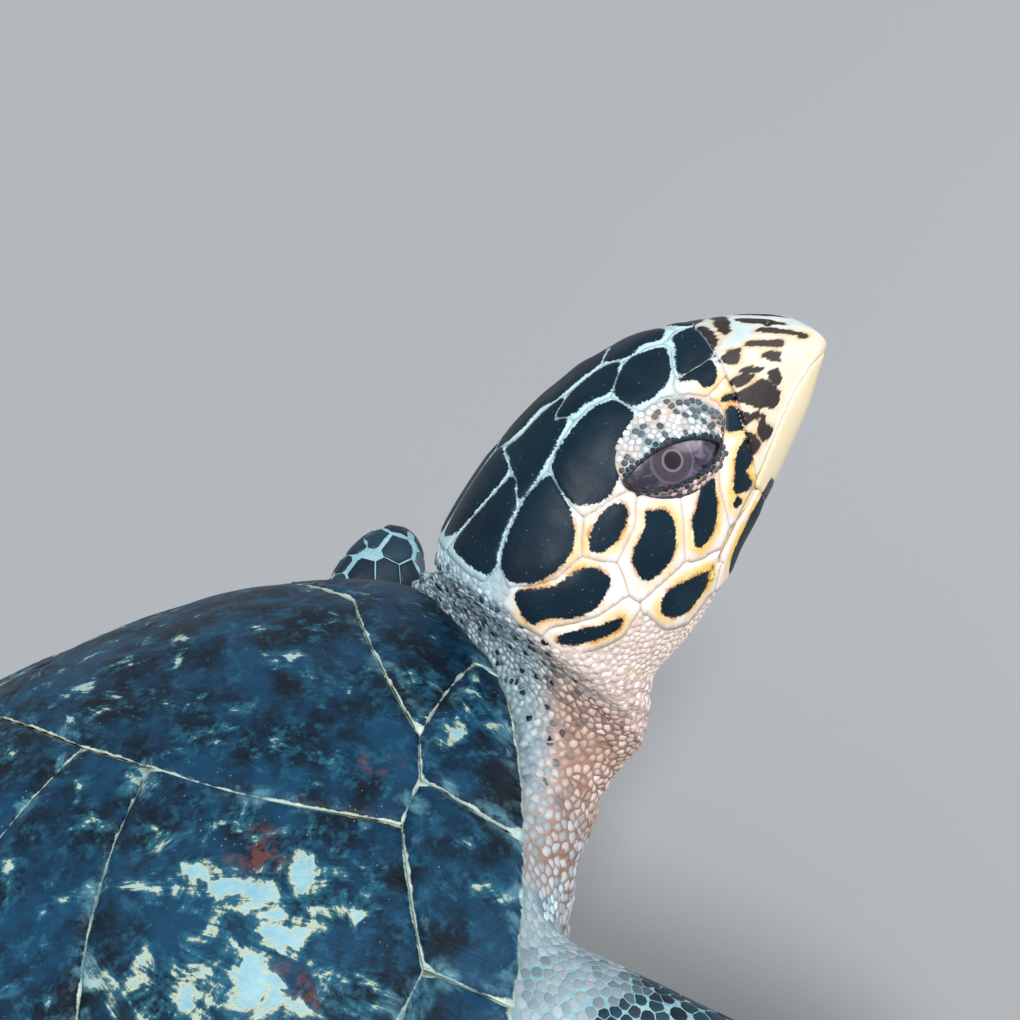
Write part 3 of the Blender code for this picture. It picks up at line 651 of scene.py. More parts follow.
def build_carapace():
    finish = tortoiseshell()
    for turn, (name, outline) in enumerate(middle_outlines().items()):
        shell_plate(name, outline, MIDDLE_GROWN[name], finish, turn)
    for side_name, side in SIDES.items():
        mirror = np.array((side, 1))
        for rank, outline in costal_outlines().items():
            shell_plate(f'costal_{side_name}_{rank}', outline * mirror,
                        COSTAL_GROWN[rank] * mirror, finish, 10 * side + rank)
        for rank in range(12):
            centre = rim_point(RIM_SEAMS[rank + 1] - 4, 12) * mirror
            shell_plate(f'marginal_{side_name}_{rank + 1}', marginal_outline(rank) * mirror,
                        centre, finish, 20 * side + rank)


# Half outline of the belly shield in the plan, in millimetres, and its cross seams:
# place on the midline, and how far forwards the seam has run 100 mm out from it.
BELLY_OUTLINE = [(0, -292), (34, -286), (66, -262), (98, -205), (150, -150), (196, -112),
                 (205, -40), (202, 40), (176, 96), (124, 128), (98, 190), (66, 250), (26, 282),
                 (0, 284)]
BELLY_SEAMS = [(-246, 44), (-182, -10), (-96, -16), (24, 8), (122, 22), (196, -44)]
BRIDGE_LINE = 148            # mm from the midline to the inframarginal plates
BRIDGE_SEAMS = [-70, -8, 54]
BELLY_GRID = 7.0
BELLY_BANDS = (0.8, 1.6, 3.0)
BELLY_SEAM = 0.25
BELLY_DEPTH = 5.4            # mm


def belly_half():
    """Flat plates of the left half of the belly shield."""
    bm = bmesh.new()
    outline = smooth_knots(BELLY_OUTLINE, 5)
    bm.faces.new([bm.verts.new((x, y, 0)) for x, y in outline])

    def seam(place, normal, where):
        faces = [f for f in bm.faces if where(f.calc_center_median())]
        edges = {e for f in faces for e in f.edges}
        bmesh.ops.bisect_plane(bm, geom=faces + list(edges | corners_of(faces)), dist=1e-5,
                               plane_co=place, plane_no=normal)

    seam((BRIDGE_LINE, 0, 0), (1, 0, 0), lambda p: True)
    for middle, lead in BELLY_SEAMS:
        seam((0, middle, 0), (lead / 100, 1, 0), lambda p: p.x < BRIDGE_LINE)
    for place in BRIDGE_SEAMS:
        seam((0, place, 0), (0, 1, 0), lambda p: p.x > BRIDGE_LINE)
    return bm


def belly_plates():
    """Flat plates of the whole belly shield, with seams between them and banded edges."""
    bm = belly_half()
    plates = bm.faces[:]
    rims = bmesh.ops.inset_individual(bm, faces=plates, thickness=BELLY_SEAM)['faces']
    bmesh.ops.delete(bm, geom=rims, context='FACES')
    for width in BELLY_BANDS:
        bmesh.ops.inset_individual(bm, faces=plates, thickness=width)
    cut_grid(bm, BELLY_GRID)
    bmesh.ops.mirror(bm, geom=whole(bm), merge_dist=1e-4, axis='X')
    bm.normal_update()
    bmesh.ops.reverse_faces(bm, faces=[f for f in bm.faces if f.normal.z > 0])
    return bm


def edge_lines(mesh):
    """The boundary edges of a flat mesh, as pairs of plan points."""
    shared = {}
    for polygon in mesh.polygons:
        for key in polygon.edge_keys:
            shared[key] = shared.get(key, 0) + 1
    places = places_of(mesh)[:, :2]
    return np.array([places[list(key)] for key, count in shared.items() if count == 1])


def distance_to_lines(points, lines):
    """Distance of plan points to the nearest of many straight lines."""
    start, along = lines[:, 0], lines[:, 1] - lines[:, 0]
    length = np.maximum((along ** 2).sum(1), 1e-12)
    least = np.full(len(points), np.inf)
    for a, d, size in zip(start, along, length):
        share = np.clip((points - a) @ d / size, 0, 1)
        least = np.minimum(least, np.linalg.norm(points - a - share[:, None] * d, axis=1))
    return least


def build_plastron():
    """Cream belly shield of paired plates over the belly."""
    piece = new_piece(belly_plates(), 'belly_shield', belly_horn())
    mesh = piece.data
    plan = places_of(mesh)[:, :2]
    edge = distance_to_lines(plan, edge_lines(mesh))
    places, normals = surface_frame(underside, plan[:, 0], plan[:, 1])
    growth = 0.12 * np.cos(edge * 2 * math.pi / 5.5) * np.exp(-edge / 20) * ease(edge, 1, 5)
    swell = 1.2 * lumps(places, 0.060) + 0.4 * lumps(places, 0.018, 3.0)
    height = BELLY_DEPTH + edge_rounding(edge, 2.0) + growth + swell * ease(edge, 0, 14)
    move_to(mesh, places - normals * height[:, None] * MM)
    store(mesh, 'edge', edge)
    give_wall(piece, (BELLY_DEPTH - 1.0) * MM)
    carry(piece, ['plastron'])


# ---------------------------------------------------------------- the head's own chart
# Ribs of the head: forward, top, bottom, half width (mm), share of the height at the widest.
HEAD_RIBS = [
    (76, -21, -27, 2, 0.5), (72, -8, -29, 6, 0.6), (62, 5, -33, 12, 0.55),
    (50, 16, -38, 17, 0.5), (36, 27, -42, 22, 0.48), (20, 36, -46, 29, 0.47),
    (0, 42, -50, 36, 0.46), (-22, 45, -55, 41, 0.48), (-46, 45, -58, 44, 0.5),
    (-68, 42, -56, 43, 0.5), (-86, 37, -52, 37, 0.5),
]
RIB_SQUARE = 0.88
RIB_CURVE = smooth_knots(HEAD_RIBS[::-1], 12)
CHART_FORWARD = np.arange(-86, 77)
CHART_ANGLES = np.linspace(0, math.pi, 181)
CHART_ROUND = np.linspace(0, 100, 201)


def rib_at(forward):
    """Top, bottom, half width and height of the widest place of the head, in mm."""
    top, bottom, half, widest = (np.interp(forward, RIB_CURVE[:, 0], RIB_CURVE[:, k])
                                 for k in range(1, 5))
    return top, bottom, half, top + (bottom - top) * widest


def head_section(forward, angle):
    """Sideways and upward place on the head, the angle running from its crown."""
    top, bottom, half, middle = rib_at(forward)
    sine, cosine = np.sin(angle), np.cos(angle)
    side = half * np.sign(sine) * np.abs(sine) ** RIB_SQUARE
    rise = np.sign(cosine) * np.abs(cosine) ** RIB_SQUARE
    return side, middle + np.where(rise > 0, top - middle, middle - bottom) * rise


def chart_tables():
    """Tables that turn (forward, share of the way round) into places, and back."""
    side_rows, up_rows, round_rows = [], [], []
    for forward in CHART_FORWARD:
        side, up = head_section(forward, CHART_ANGLES)
        travel = np.append(0, np.cumsum(np.hypot(np.diff(side), np.diff(up))))
        share = travel / travel[-1] * 100
        side_rows.append(np.interp(CHART_ROUND, share, side))
        up_rows.append(np.interp(CHART_ROUND, share, up))
        middle = rib_at(forward)[3]
        turned = np.arctan2(np.abs(side), up - middle)
        round_rows.append(np.interp(CHART_ANGLES, turned, share))
    return np.array(side_rows), np.array(up_rows), np.array(round_rows)


SIDE_TABLE, UP_TABLE, ROUND_TABLE = chart_tables()


def look_up(table, row, column):
    """Bilinear value of a table at fractional rows and columns."""
    row = np.clip(row, 0, table.shape[0] - 1.001)
    column = np.clip(column, 0, table.shape[1] - 1.001)
    i, j = row.astype(int), column.astype(int)
    a, b = row - i, column - j
    return ((table[i, j] * (1 - b) + table[i, j + 1] * b) * (1 - a)
            + (table[i + 1, j] * (1 - b) + table[i + 1, j + 1] * b) * a)


def from_chart(forward, turn):
    """Head-frame places in mm of chart points; a negative turn is the right side."""
    row = forward - CHART_FORWARD[0]
    side = look_up(SIDE_TABLE, row, np.abs(turn) * 2) * np.sign(turn)
    return np.column_stack([side, -forward, look_up(UP_TABLE, row, np.abs(turn) * 2)])


def to_chart(local):
    """Forward and round share of head-frame places in mm."""
    forward = -local[:, 1]
    middle = rib_at(forward)[3]
    angle = np.arctan2(np.abs(local[:, 0]), local[:, 2] - middle)
    turn = look_up(ROUND_TABLE, forward - CHART_FORWARD[0], angle / math.pi * 180)
    return forward, turn * np.where(local[:, 0] < 0, -1, 1)


HEAD_AXES = np.array(HEAD.to_3x3())


def to_head(places):
    return (places - np.array(HEAD_PLACE)) @ HEAD_AXES / MM


def from_head(local):
    return local * MM @ HEAD_AXES.T + np.array(HEAD_PLACE)


# ---------------------------------------------------------------- forms of the flesh
def ring(top, bottom, side, count, belly=0.5):
    """Closed ring through a top and a bottom point; `side` is its reach to the +side."""
    angle = np.arange(count) * 2 * math.pi / count
    middle = top + (bottom - top) * belly
    rise = np.cos(angle)[:, None]
    upright = np.where(rise > 0, top - middle, middle - bottom)
    return middle + upright * rise + side * np.sin(angle)[:, None]


def loft(stations, steps, count):
    """Smooth rings through stations of a top, a bottom and a reach to the side."""
    rows = smooth_knots([np.concatenate(station) for station in stations], steps)
    return [ring(row[0:3], row[3:6], row[6:9], count) + SHELL_CENTRE for row in rows]


def wrap(rings, closed=False):
    """Grid rolled up so that its rows lie on the rings; `closed` joins the last to the first."""
    rows = np.array(list(rings) + ([rings[0]] if closed else []))
    rows = np.concatenate([rows, rows[:, :1]], axis=1)
    count = (rows.shape[0] - 1, rows.shape[1] - 1)
    bm = bmesh.new()
    bmesh.ops.create_grid(bm, x_segments=count[0], y_segments=count[1], size=0.5)
    for vertex in bm.verts:
        row, place = (round((vertex.co[axis] + 0.5) * count[axis]) for axis in (0, 1))
        vertex.co = rows[row, place]
    bmesh.ops.remove_doubles(bm, verts=bm.verts, dist=1e-7)
    bmesh.ops.holes_fill(bm, edges=bm.edges)
    bmesh.ops.recalc_face_normals(bm, faces=bm.faces)
    return bm


def head_rings():
    angles = np.linspace(0, 2 * math.pi, 72, endpoint=False)
    rings = []
    for forward in np.append(np.arange(-85, 74, 2.5), (74.5, 75.5)):
        side, up = head_section(forward, angles)
        local = np.column_stack([side, np.full(len(side), -forward), up])
        rings.append(from_head(local))
    return rings


SHELL_CENTRE = np.array((0, 0, RIM_HEIGHT))


def neck_rings():
    """Stations of the neck, from inside the head down in front of the nuchal."""
    across = HEAD_AXES @ (1, 0, 0)
    deep_top, deep_low = from_head(np.array([(0, 58.0, 30.0), (0, 58.0, -52.0)])) - SHELL_CENTRE
    back_top = from_head(np.array([(0, 86.4, 36.0)]))[0] - SHELL_CENTRE
    return loft([
        (deep_top, deep_low, across * 0.038),
        (back_top, (-0.065, -0.372, -0.011), across * 0.040),
        ((-0.012, -0.346, 0.070), (-0.0525, -0.359, -0.028), (0.046, 0, 0)),
        ((0.010, -0.343, 0.052), (-0.030, -0.337, -0.037), (0.057, 0.002, 0.006)),
        ((0.004, -0.332, 0.034), (-0.016, -0.316, -0.052), (0.068, 0, 0.004)),
        ((0, -0.305, 0.026), (-0.006, -0.293, -0.062), (0.086, 0, 0)),
        ((0, -0.28, 0.020), (0, -0.255, -0.080), (0.092, 0, 0)),
    ], 8, 64)


# Stations of a limb: centre, direction across the blade towards its rear edge,
# half width, half thickness.
FRONT_FLIPPERS = {
    'right': [
        ((-0.070, -0.210, -0.022), (0.1, 0.9, -0.35), 0.060, 0.050),
        ((-0.116, -0.243, -0.046), (0.15, 0.85, -0.42), 0.050, 0.035),
        ((-0.170, -0.281, -0.090), (0.2, 0.85, -0.4), 0.041, 0.022),
        ((-0.222, -0.306, -0.126), (0.25, 0.9, -0.3), 0.050, 0.014),
        ((-0.282, -0.310, -0.178), (0.3, 0.9, -0.25), 0.052, 0.010),
        ((-0.342, -0.294, -0.222), (0.4, 0.85, -0.2), 0.043, 0.007),
        ((-0.390, -0.266, -0.258), (0.5, 0.8, -0.15), 0.027, 0.005),
        ((-0.420, -0.240, -0.276), (0.6, 0.7, -0.1), 0.008, 0.003),
    ],
    'left': [
        ((0.095, -0.220, -0.040), (0.0, 0.9, -0.4), 0.042, 0.032),
        ((0.118, -0.276, -0.016), (0.0, 0.9, -0.4), 0.046, 0.030),
        ((0.146, -0.328, 0.000), (-0.1, 0.9, -0.4), 0.045, 0.025),
        ((0.190, -0.318, -0.036), (-0.45, 0.85, -0.2), 0.047, 0.018),
        ((0.234, -0.282, -0.072), (-0.6, 0.75, -0.1), 0.051, 0.013),
        ((0.280, -0.238, -0.094), (-0.7, 0.7, 0.0), 0.052, 0.010),
        ((0.330, -0.180, -0.132), (-0.8, 0.6, 0.05), 0.043, 0.007),
        ((0.366, -0.122, -0.162), (-0.85, 0.5, 0.05), 0.027, 0.005),
        ((0.386, -0.078, -0.180), (-0.9, 0.45, 0.05), 0.008, 0.003),
    ],
}
HIND_FLIPPER = [
    ((0.105, 0.205, -0.040), (-0.85, 0.5, 0.0), 0.034, 0.026),
    ((0.140, 0.262, -0.048), (-0.85, 0.5, 0.0), 0.036, 0.020),
    ((0.172, 0.312, -0.060), (-0.85, 0.5, 0.0), 0.044, 0.011),
    ((0.200, 0.356, -0.072), (-0.85, 0.5, 0.05), 0.046, 0.007),
    ((0.222, 0.394, -0.080), (-0.85, 0.5, 0.05), 0.034, 0.005),
    ((0.236, 0.418, -0.084), (-0.85, 0.5, 0.05), 0.012, 0.003),
]
LIMB_RING = 40


def limb_rings(stations, side=1):
    """Smooth rings of a limb; the first point of each lies on its leading edge."""
    rows = smooth_knots([(*c, *a, reach, thick) for c, a, reach, thick in stations], 8)
    centres = rows[:, 0:3] * (side, 1, 1)
    across = rows[:, 3:6] * (side, 1, 1)
    along = np.gradient(centres, axis=0)
    rings = []
    for centre, chord, ahead, (reach, thick) in zip(centres, across, along, rows[:, 6:8]):
        chord = chord / np.linalg.norm(chord)
        face = np.cross(ahead, chord)
        face /= np.linalg.norm(face)
        rings.append(ring(centre - chord * reach, centre + chord * reach, face * thick,
                          LIMB_RING, 0.42) + SHELL_CENTRE)
    return rings


def limbs():
    """Rings of the four flippers by the name of their solid."""
    made = {}
    for name, side in SIDES.items():
        made[f'flipper_front_{name}'] = limb_rings(FRONT_FLIPPERS[name])
        made[f'flipper_hind_{name}'] = limb_rings(HIND_FLIPPER, side)
    return made


def tail_rings():
    return loft([((0, 0.27, 0.010), (0, 0.27, -0.046), (0.034, 0, 0)),
                 ((0, 0.32, -0.004), (0, 0.32, -0.046), (0.024, 0, 0)),
                 ((0, 0.36, -0.018), (0, 0.36, -0.046), (0.014, 0, 0)),
                 ((0, 0.392, -0.034), (0, 0.394, -0.046), (0.005, 0, 0))], 6, 32)


# ---------------------------------------------------------------- bill and its cuts
MOUTH_LINE = [(100, -30), (74, -29), (62, -25), (50, -25), (34, -28), (14, -32), (-4, -36),
              (-34, -40)]
BILL_BACK = [(45, 70), (44, 20), (32, -6), (14, -32)]
LOWER_BILL_BACK = 12


def side_block(points):
    """Block over a side-view outline of the head, given as (forward, up) in mm."""
    bm = bmesh.new()
    face = bm.faces.new([bm.verts.new((-100, -f, u)) for f, u in points])
    raised = bmesh.ops.extrude_face_region(bm, geom=[face])['geom']
    bmesh.ops.translate(bm, vec=(200, 0, 0),
                        verts=[v for v in raised if isinstance(v, bmesh.types.BMVert)])
    bmesh.ops.recalc_face_normals(bm, faces=bm.faces)
    bmesh.ops.transform(bm, matrix=HEAD @ Matrix.Scale(MM, 4), verts=bm.verts)
    block = bpy.data.objects.new('block', mesh_of(bm, 'block'))
    bpy.context.scene.collection.objects.link(block)
    return block


def keep_inside(piece, block):
    step = piece.modifiers.new('cut', 'BOOLEAN')
    step.operation = 'INTERSECT'
    step.object = block
    step.solver = 'EXACT'
    apply_modifiers(piece)
    bpy.data.objects.remove(block)


def bill_outlines():
    front = [p for p in MOUTH_LINE if p[0] >= 14]
    return {
        'upper_bill': front + BILL_BACK[2::-1] + [(100, 70)],
        'lower_bill': front[:-1] + [(LOWER_BILL_BACK, -33), (LOWER_BILL_BACK, -90),
                                    (100, -90)],
    }


def remesh(piece, voxel, rounds):
    """Even quads of about a voxel's size over the piece, smoothed some rounds."""
    step = piece.modifiers.new('even', 'REMESH')
    step.mode = 'VOXEL'
    step.voxel_size = voxel
    apply_modifiers(piece)
    even_out(piece.data, rounds)
    piece.data.shade_smooth()


BILL_VOXEL = 0.0009


def build_bill():
    finish = horn()
    for name, outline in bill_outlines().items():
        bill = new_piece(wrap(head_rings()), f'horn_{name}', finish)
        keep_inside(bill, side_block(outline))
        remesh(bill, BILL_VOXEL, 3)
        bill.data.materials.clear()
        bill.data.materials.append(finish)
        sink_nostrils(bill.data)
        mark_head(bill.data)
        mark_bill(bill.data)
        carry(bill, [name])


NOSTRIL = (63, 22)           # forward mm, percent of the way round
NOSTRIL_SIZE = 2.0           # mm
NOSTRIL_DEPTH = 1.8


def from_nostril(local):
    """Distance of head places to the nearer nostril, in mm, longer along the bill."""
    sides = [from_chart(np.array([NOSTRIL[0]]), np.array([NOSTRIL[1] * side]))[0]
             for side in SIDES.values()]
    return np.min([np.linalg.norm((local - side) / (1.0, 1.3, 1.0), axis=1) for side in sides],
                  axis=0)


def sink_nostrils(mesh):
    places, normals = places_of(mesh), normals_of(mesh)
    depth = NOSTRIL_DEPTH * (1 - ease(from_nostril(to_head(places)), 0.5, NOSTRIL_SIZE))
    move_to(mesh, places - normals * depth[:, None] * MM)


def mark_bill(mesh):
    """Lie of the horn's grain, and distance above the mouth."""
    local = to_head(places_of(mesh))
    chart = chart_points(places_of(mesh))
    store(mesh, 'grain', np.column_stack([chart[:, 0] / 9, chart[:, 1] / 2.6, local[:, 0] / 9]))
    mouth = np.array(MOUTH_LINE, float)[::-1]
    above = local[:, 2] - np.interp(-local[:, 1], mouth[:, 0], mouth[:, 1])
    store(mesh, 'lip', np.where(above > -0.1, above, 9))
    # 'nostril' marks the nostril openings, which the horn finish paints near black as their
    # shade.
    store(mesh, 'nostril', 1 - ease(from_nostril(local), 0.9, NOSTRIL_SIZE))


# ---------------------------------------------------------------- markings of the head
# Dark centre of each head scale: points (forward mm, percent of the way from the crown
# round to the chin).  Those that start at 0 lie across the crown.
CROWN_SCALES = {
    'frontonasal': [(49, 0), (48, 6), (45, 9), (41, 8.5), (39.5, 4), (39, 0)],
    'frontal': [(35, 0), (35, 7), (31, 13), (25, 12), (17.5, 13.8), (11.5, 9.6), (15, 5.5),
        (18.5, 0)],
    'frontoparietal': [(16.5, 0), (13, 5), (9, 9), (0, 9), (-11, 8.8), (-17, 6), (-26, 6.3),
        (-33, 4.4), (-38, 0)],
}
SIDE_SCALES = {
    'prefrontal': [(45, 12), (35, 14.5), (31, 21), (24, 29.5), (29, 31), (37, 30), (44.5, 23)],
    'lower_prefrontal': [(36, 31.5), (31, 31.8), (22, 32), (26, 35), (26, 39), (30, 40),
        (34, 36.5)],
    'supraocular': [(28, 18), (20, 16), (15, 16.5), (3.5, 22.5), (5, 29.5), (19, 29.8),
        (26, 22.5)],
    'temporal_front': [(13, 14.6), (9, 12), (-5, 12), (-16, 14.5), (-12, 18), (-6, 18.6),
        (0, 20.6), (5.5, 20)],
    'temporal_rear': [(-9, 11.2), (-18, 9.5), (-30, 9), (-36, 7), (-37.5, 10.5), (-41, 15.5),
        (-43, 19), (-47, 22), (-33, 21.6), (-26, 20.5), (-19, 19), (-15, 17.6), (-18, 14.6)],
    'occipital': [(-39.5, 1), (-39.5, 9), (-43, 13.8), (-52, 13.4), (-60, 12.4), (-70, 10.4),
        (-74, 6), (-72, 1)],
    'parietal': [(-43, 16.5), (-46, 19.5), (-51, 22.3), (-62, 23.8), (-70, 26.4), (-75.5, 25),
        (-76, 14), (-73, 12), (-56, 14.8)],
    'postocular': [(1, 25), (-3, 22.5), (-8, 21.6), (-22, 22), (-32, 24.5), (-36, 31), (-35, 35),
        (-26, 38.8), (-14, 36), (-4, 32), (1, 30.3)],
    'tympanic': [(-35, 24.6), (-45, 23.6), (-58, 25.2), (-67, 27.4), (-71.3, 31.5), (-66, 36.8),
        (-57, 39.2), (-47, 38.6), (-40, 34), (-36.5, 29)],
    'nape_corner': [(-71.5, 28.4), (-75.5, 27.6), (-75, 31)],
    'cheek_upper': [(-26, 41.8), (-31, 40), (-40, 40), (-45, 42.3), (-43, 45), (-35, 46.2),
        (-27, 44.5)],
    'cheek_middle': [(-17.5, 53), (-20.5, 49.5), (-23, 48), (-27, 50.2), (-36, 51), (-40.5, 53.5),
        (-41, 57.5), (-37, 59.3), (-28, 60), (-20, 57)],
    'cheek_rear': [(-48, 49.3), (-49, 46), (-53, 43), (-62, 41.3), (-68, 38), (-73, 34.8),
        (-77, 38), (-78, 43), (-73, 44.5), (-67, 49.3), (-58, 51.8), (-50, 50.8)],
    'cheek_low': [(-56, 58.4), (-62, 56), (-70, 51.8), (-75, 50), (-77.5, 51), (-74, 54.3),
        (-68, 57.3), (-60, 59.6)],
    'subocular': [(3, 59), (-2, 57.6), (-9, 59), (-14, 60.2), (-20, 64.3), (-18, 66.5),
        (-10, 67.3), (-4, 65), (0, 62)],
    'jaw_corner': [(-23, 73), (-28, 69.5), (-34, 66), (-41, 63.7), (-46, 66), (-45, 69.5),
        (-41, 72.8), (-34, 74.6), (-26, 74.6)],
    'jaw_long': [(19, 82), (6, 80.5), (-7, 79.5), (-16, 81.5), (-18, 86), (-6, 89.5), (8, 91),
        (18, 89)],
    'throat_pair': [(-56, 74), (-62, 72), (-68, 74), (-66, 78), (-59, 78)],
}
# Streaks and flecks of the bill and the lore, where there are no seams.
STREAKS = {
    'lore_blue': [(47, 33), (43, 31.5), (38.5, 34.5), (41.5, 39), (45, 36)],
    'lore_long': [(52, 31.5), (49.5, 33), (54, 38), (59, 44.5), (61, 41), (56, 35)],
    'ridge': [(57, 27), (61, 33), (66, 40), (67, 47), (70, 52), (70, 44), (66, 34), (61, 26)],
    'fleck_front': [(56.5, 46.5), (53, 41.5), (50.5, 43.5), (53.5, 51.5), (56, 48.5)],
    'fleck_blue': [(47.5, 48), (43, 42.5), (40, 42.5), (43.5, 47.5)],
    'fleck_upper': [(43, 48), (41, 45), (36, 43.5), (34, 44.5), (35, 47), (38, 49)],
    'fleck_brown': [(51.5, 54), (47.5, 51), (46, 53.5), (45.5, 57), (47.5, 60)],
    'lore_block': [(43.5, 51), (36, 49.5), (30, 46.5), (26, 46), (30, 50), (32, 54), (35, 60),
        (40.5, 66), (45, 62.5), (45, 56)],
    'lore_lower': [(27, 50), (24, 50.5), (19.5, 54), (24, 59), (30, 61), (33.5, 64), (34, 61),
        (30, 57)],
    'lore_step': [(31.5, 63), (26, 66.5), (28, 70.5), (33, 70)],
    'lip_front': [(25, 62), (22, 61.5), (16, 61.5), (10, 64.5), (12, 67.5), (20, 68.5), (25, 68)],
    'lip_rear': [(12, 65), (5, 66.5), (4.5, 69), (8, 72.3), (12, 72.5)],
    'lip_dot': [(4, 69.3), (1, 69.8), (0.6, 71.5), (4, 72.6)],
    'crest_1': [(58, 3), (63, 4), (69, 8), (71, 14), (66, 12), (60, 8)],
    'crest_2': [(56, 12), (61, 15), (66, 20), (68, 28), (63, 24), (57, 18)],
    'nasal': [(55, 4), (51, 3), (50.5, 9), (48, 17), (47.5, 23), (51, 20), (54, 12)],
}
ROUND_MM = 1.35              # about the length of one percent of the way round


def chart_line(points):
    return smooth_loop(points, 4) * (1, ROUND_MM)


def mirror_line(line):
    return line * (1, -1)


def scale_lines():
    """Outline of the dark centre of every head scale, both sides, in chart millimetres."""
    lines = {}
    for name, half in CROWN_SCALES.items():
        lines[name] = chart_line(half + [(f, -t) for f, t in half[::-1] if t > 0])
    for name, points in SIDE_SCALES.items():
        lines[f'{name}_left'] = chart_line(points)
        lines[f'{name}_right'] = mirror_line(chart_line(points))
    return lines


def streak_lines():
    lines = []
    for points in STREAKS.values():
        line = chart_line(points)
        lines += [line, mirror_line(line)]
    return lines


SCALE_LINES = scale_lines()
STREAK_LINES = streak_lines()


def chart_points(places):
    forward, turn = to_chart(to_head(places))
    return np.column_stack([forward, turn * ROUND_MM])


def folded(chart):
    """Chart points with those of the right side laid on the left."""
    return np.column_stack([chart[:, 0], np.abs(chart[:, 1])])


def darkness(chart):
    """Depth of each chart point inside the nearest dark marking, in mm."""
    lines = list(SCALE_LINES.values()) + STREAK_LINES
    return np.max([inside_depth(chart, line) for line in lines], axis=0)


def mark_chart(mesh, chart, depth):
    """Store what the finishes of the head read."""
    turn = np.abs(chart[:, 1]) / ROUND_MM
    store(mesh, 'dark', depth)
    store(mesh, 'warm', ease(turn, 24, 44))
    store(mesh, 'low', ease(turn, 60, 84))


def mark_head(mesh):
    chart = chart_points(places_of(mesh))
    near = chart[:, 0] > -84
    depth = np.full(len(chart), -9.0)
    depth[near] = darkness(chart[near])
    mark_chart(mesh, chart, depth)


# ---------------------------------------------------------------- eye frame
EYE_AXIS = np.array((0.967, -0.2485, 0.048))
EYE_CENTRE = np.array((29.8, 4.4, 1.0))
EYE_AHEAD = np.array((0, -0.878, -0.479))
EYEBALL = (23.5, 17.5, 9.8)          # half sizes along, across and out of the slit, mm
LID = (24.8, 18.8, 11.1)
ORBIT_PLACE = (3.7, 3.7)
ORBIT = (24.0, 17.0)
SLIT_PLACE = -1.5
SLIT_HALF = 20.0
SLIT_RISE = 6.6
SLIT_DROP = 6.8
EYE_HOLLOW = 7.5             # mm the skin lies deeper behind the lids


def eye_axes():
    out = EYE_AXIS / np.linalg.norm(EYE_AXIS)
    ahead = EYE_AHEAD - out * EYE_AHEAD.dot(out)
    ahead /= np.linalg.norm(ahead)
    return np.array([ahead, np.cross(ahead, out), out])


EYE_AXES = eye_axes()


def to_eye(local, side):
    """Places along, across and out of the eye's slit, from head places in mm."""
    return (local * (side, 1, 1) - EYE_CENTRE) @ EYE_AXES.T


def from_eye(seen, side):
    return (seen @ EYE_AXES + EYE_CENTRE) * (side, 1, 1)


def orbit_share(seen):
    """0 in the middle of the orbit and 1 on its edge."""
    away = (seen[:, :2] - ORBIT_PLACE) / ORBIT
    return np.hypot(away[:, 0], away[:, 1])


def swell(p, q, sizes):
    """Height of an ellipsoid of those half sizes over its middle plane."""
    return sizes[2] * np.sqrt(np.clip(1 - (p / sizes[0]) ** 2 - (q / sizes[1]) ** 2, 0.02, 1))


# ---------------------------------------------------------------- one skin
SKIN_VOXEL = 0.003
SKIN_DEPTH = 0.0008          # how deep the skin lies inside the solids of the flesh
COVERED_DEPTH = 0.0015       # how much deeper it lies under the shell
EVEN_ROUNDS = 8
SKIN_KEPT = 0.47             # share of the faces left when the covered trunk is thinned
FLESH = ['trunk', 'neck', 'head', 'lower_jaw', 'tail', 'flipper_front_left',
         'flipper_front_right', 'flipper_hind_left', 'flipper_hind_right']


def trunk_copy():
    bm = bmesh.new()
    bm.from_mesh(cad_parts['trunk'].data)
    bmesh.ops.remove_doubles(bm, verts=bm.verts, dist=1e-5)
    return bm


def subdivide_where(piece, wanted):
    """Split once the edges whose both ends are wanted."""
    chosen = wanted(places_of(piece.data))
    bm = bmesh.new()
    bm.from_mesh(piece.data)
    bm.verts.ensure_lookup_table()
    edges = [e for e in bm.edges if chosen[e.verts[0].index] and chosen[e.verts[1].index]]
    bmesh.ops.subdivide_edges(bm, edges=edges, cuts=1, use_grid_fill=True, smooth=0.6)
    bm.to_mesh(piece.data)
    bm.free()


class Flesh:
    """Where each point of the skin belongs: its part, and its place along and round it."""

    def __init__(self, forms, trunk_places):
        self.names = list(forms)
        samples = [(p, part, row / (len(rings) - 1), k / len(places))
                   for part, rings in enumerate(forms.values())
                   for row, places in enumerate(rings)
                   for k, p in enumerate(places)]
        samples += [(p, -1, 0.0, 0.0) for p in trunk_places]
        self.tree = tree_of([sample[0] for sample in samples])
        self.facts = np.array([sample[1:] for sample in samples])

    def at(self, places):
        """Part number (-1 the trunk), share along and share round of each place."""
        return self.facts[[self.tree.find(p)[1] for p in places]]


def upward(turn):
    """1 at the top of a part and 0 below, from the share of the way round it."""
    return np.abs(turn - 0.5) * 2


def spread(mesh, values, rounds):
    """Numbers on the points, evened out along the edges."""
    values = values.astype(float)
    near, far = edge_ends(mesh)
    count = np.bincount(np.concatenate([near, far]), minlength=len(values))
    for _ in range(rounds):
        total = (np.bincount(near, values[far], len(values))
                 + np.bincount(far, values[near], len(values)))
        values = (values + total / np.maximum(count, 1)) / 2
    return values


def near_head(low, high):
    """Test for places whose forward place on the head lies between two, in mm."""
    def test(places):
        local = to_head(places)
        inside = (np.abs(local[:, 0]) < 50) & (np.abs(local[:, 2]) < 66)
        return inside & (-local[:, 1] > low) & (-local[:, 1] < high)
    return test


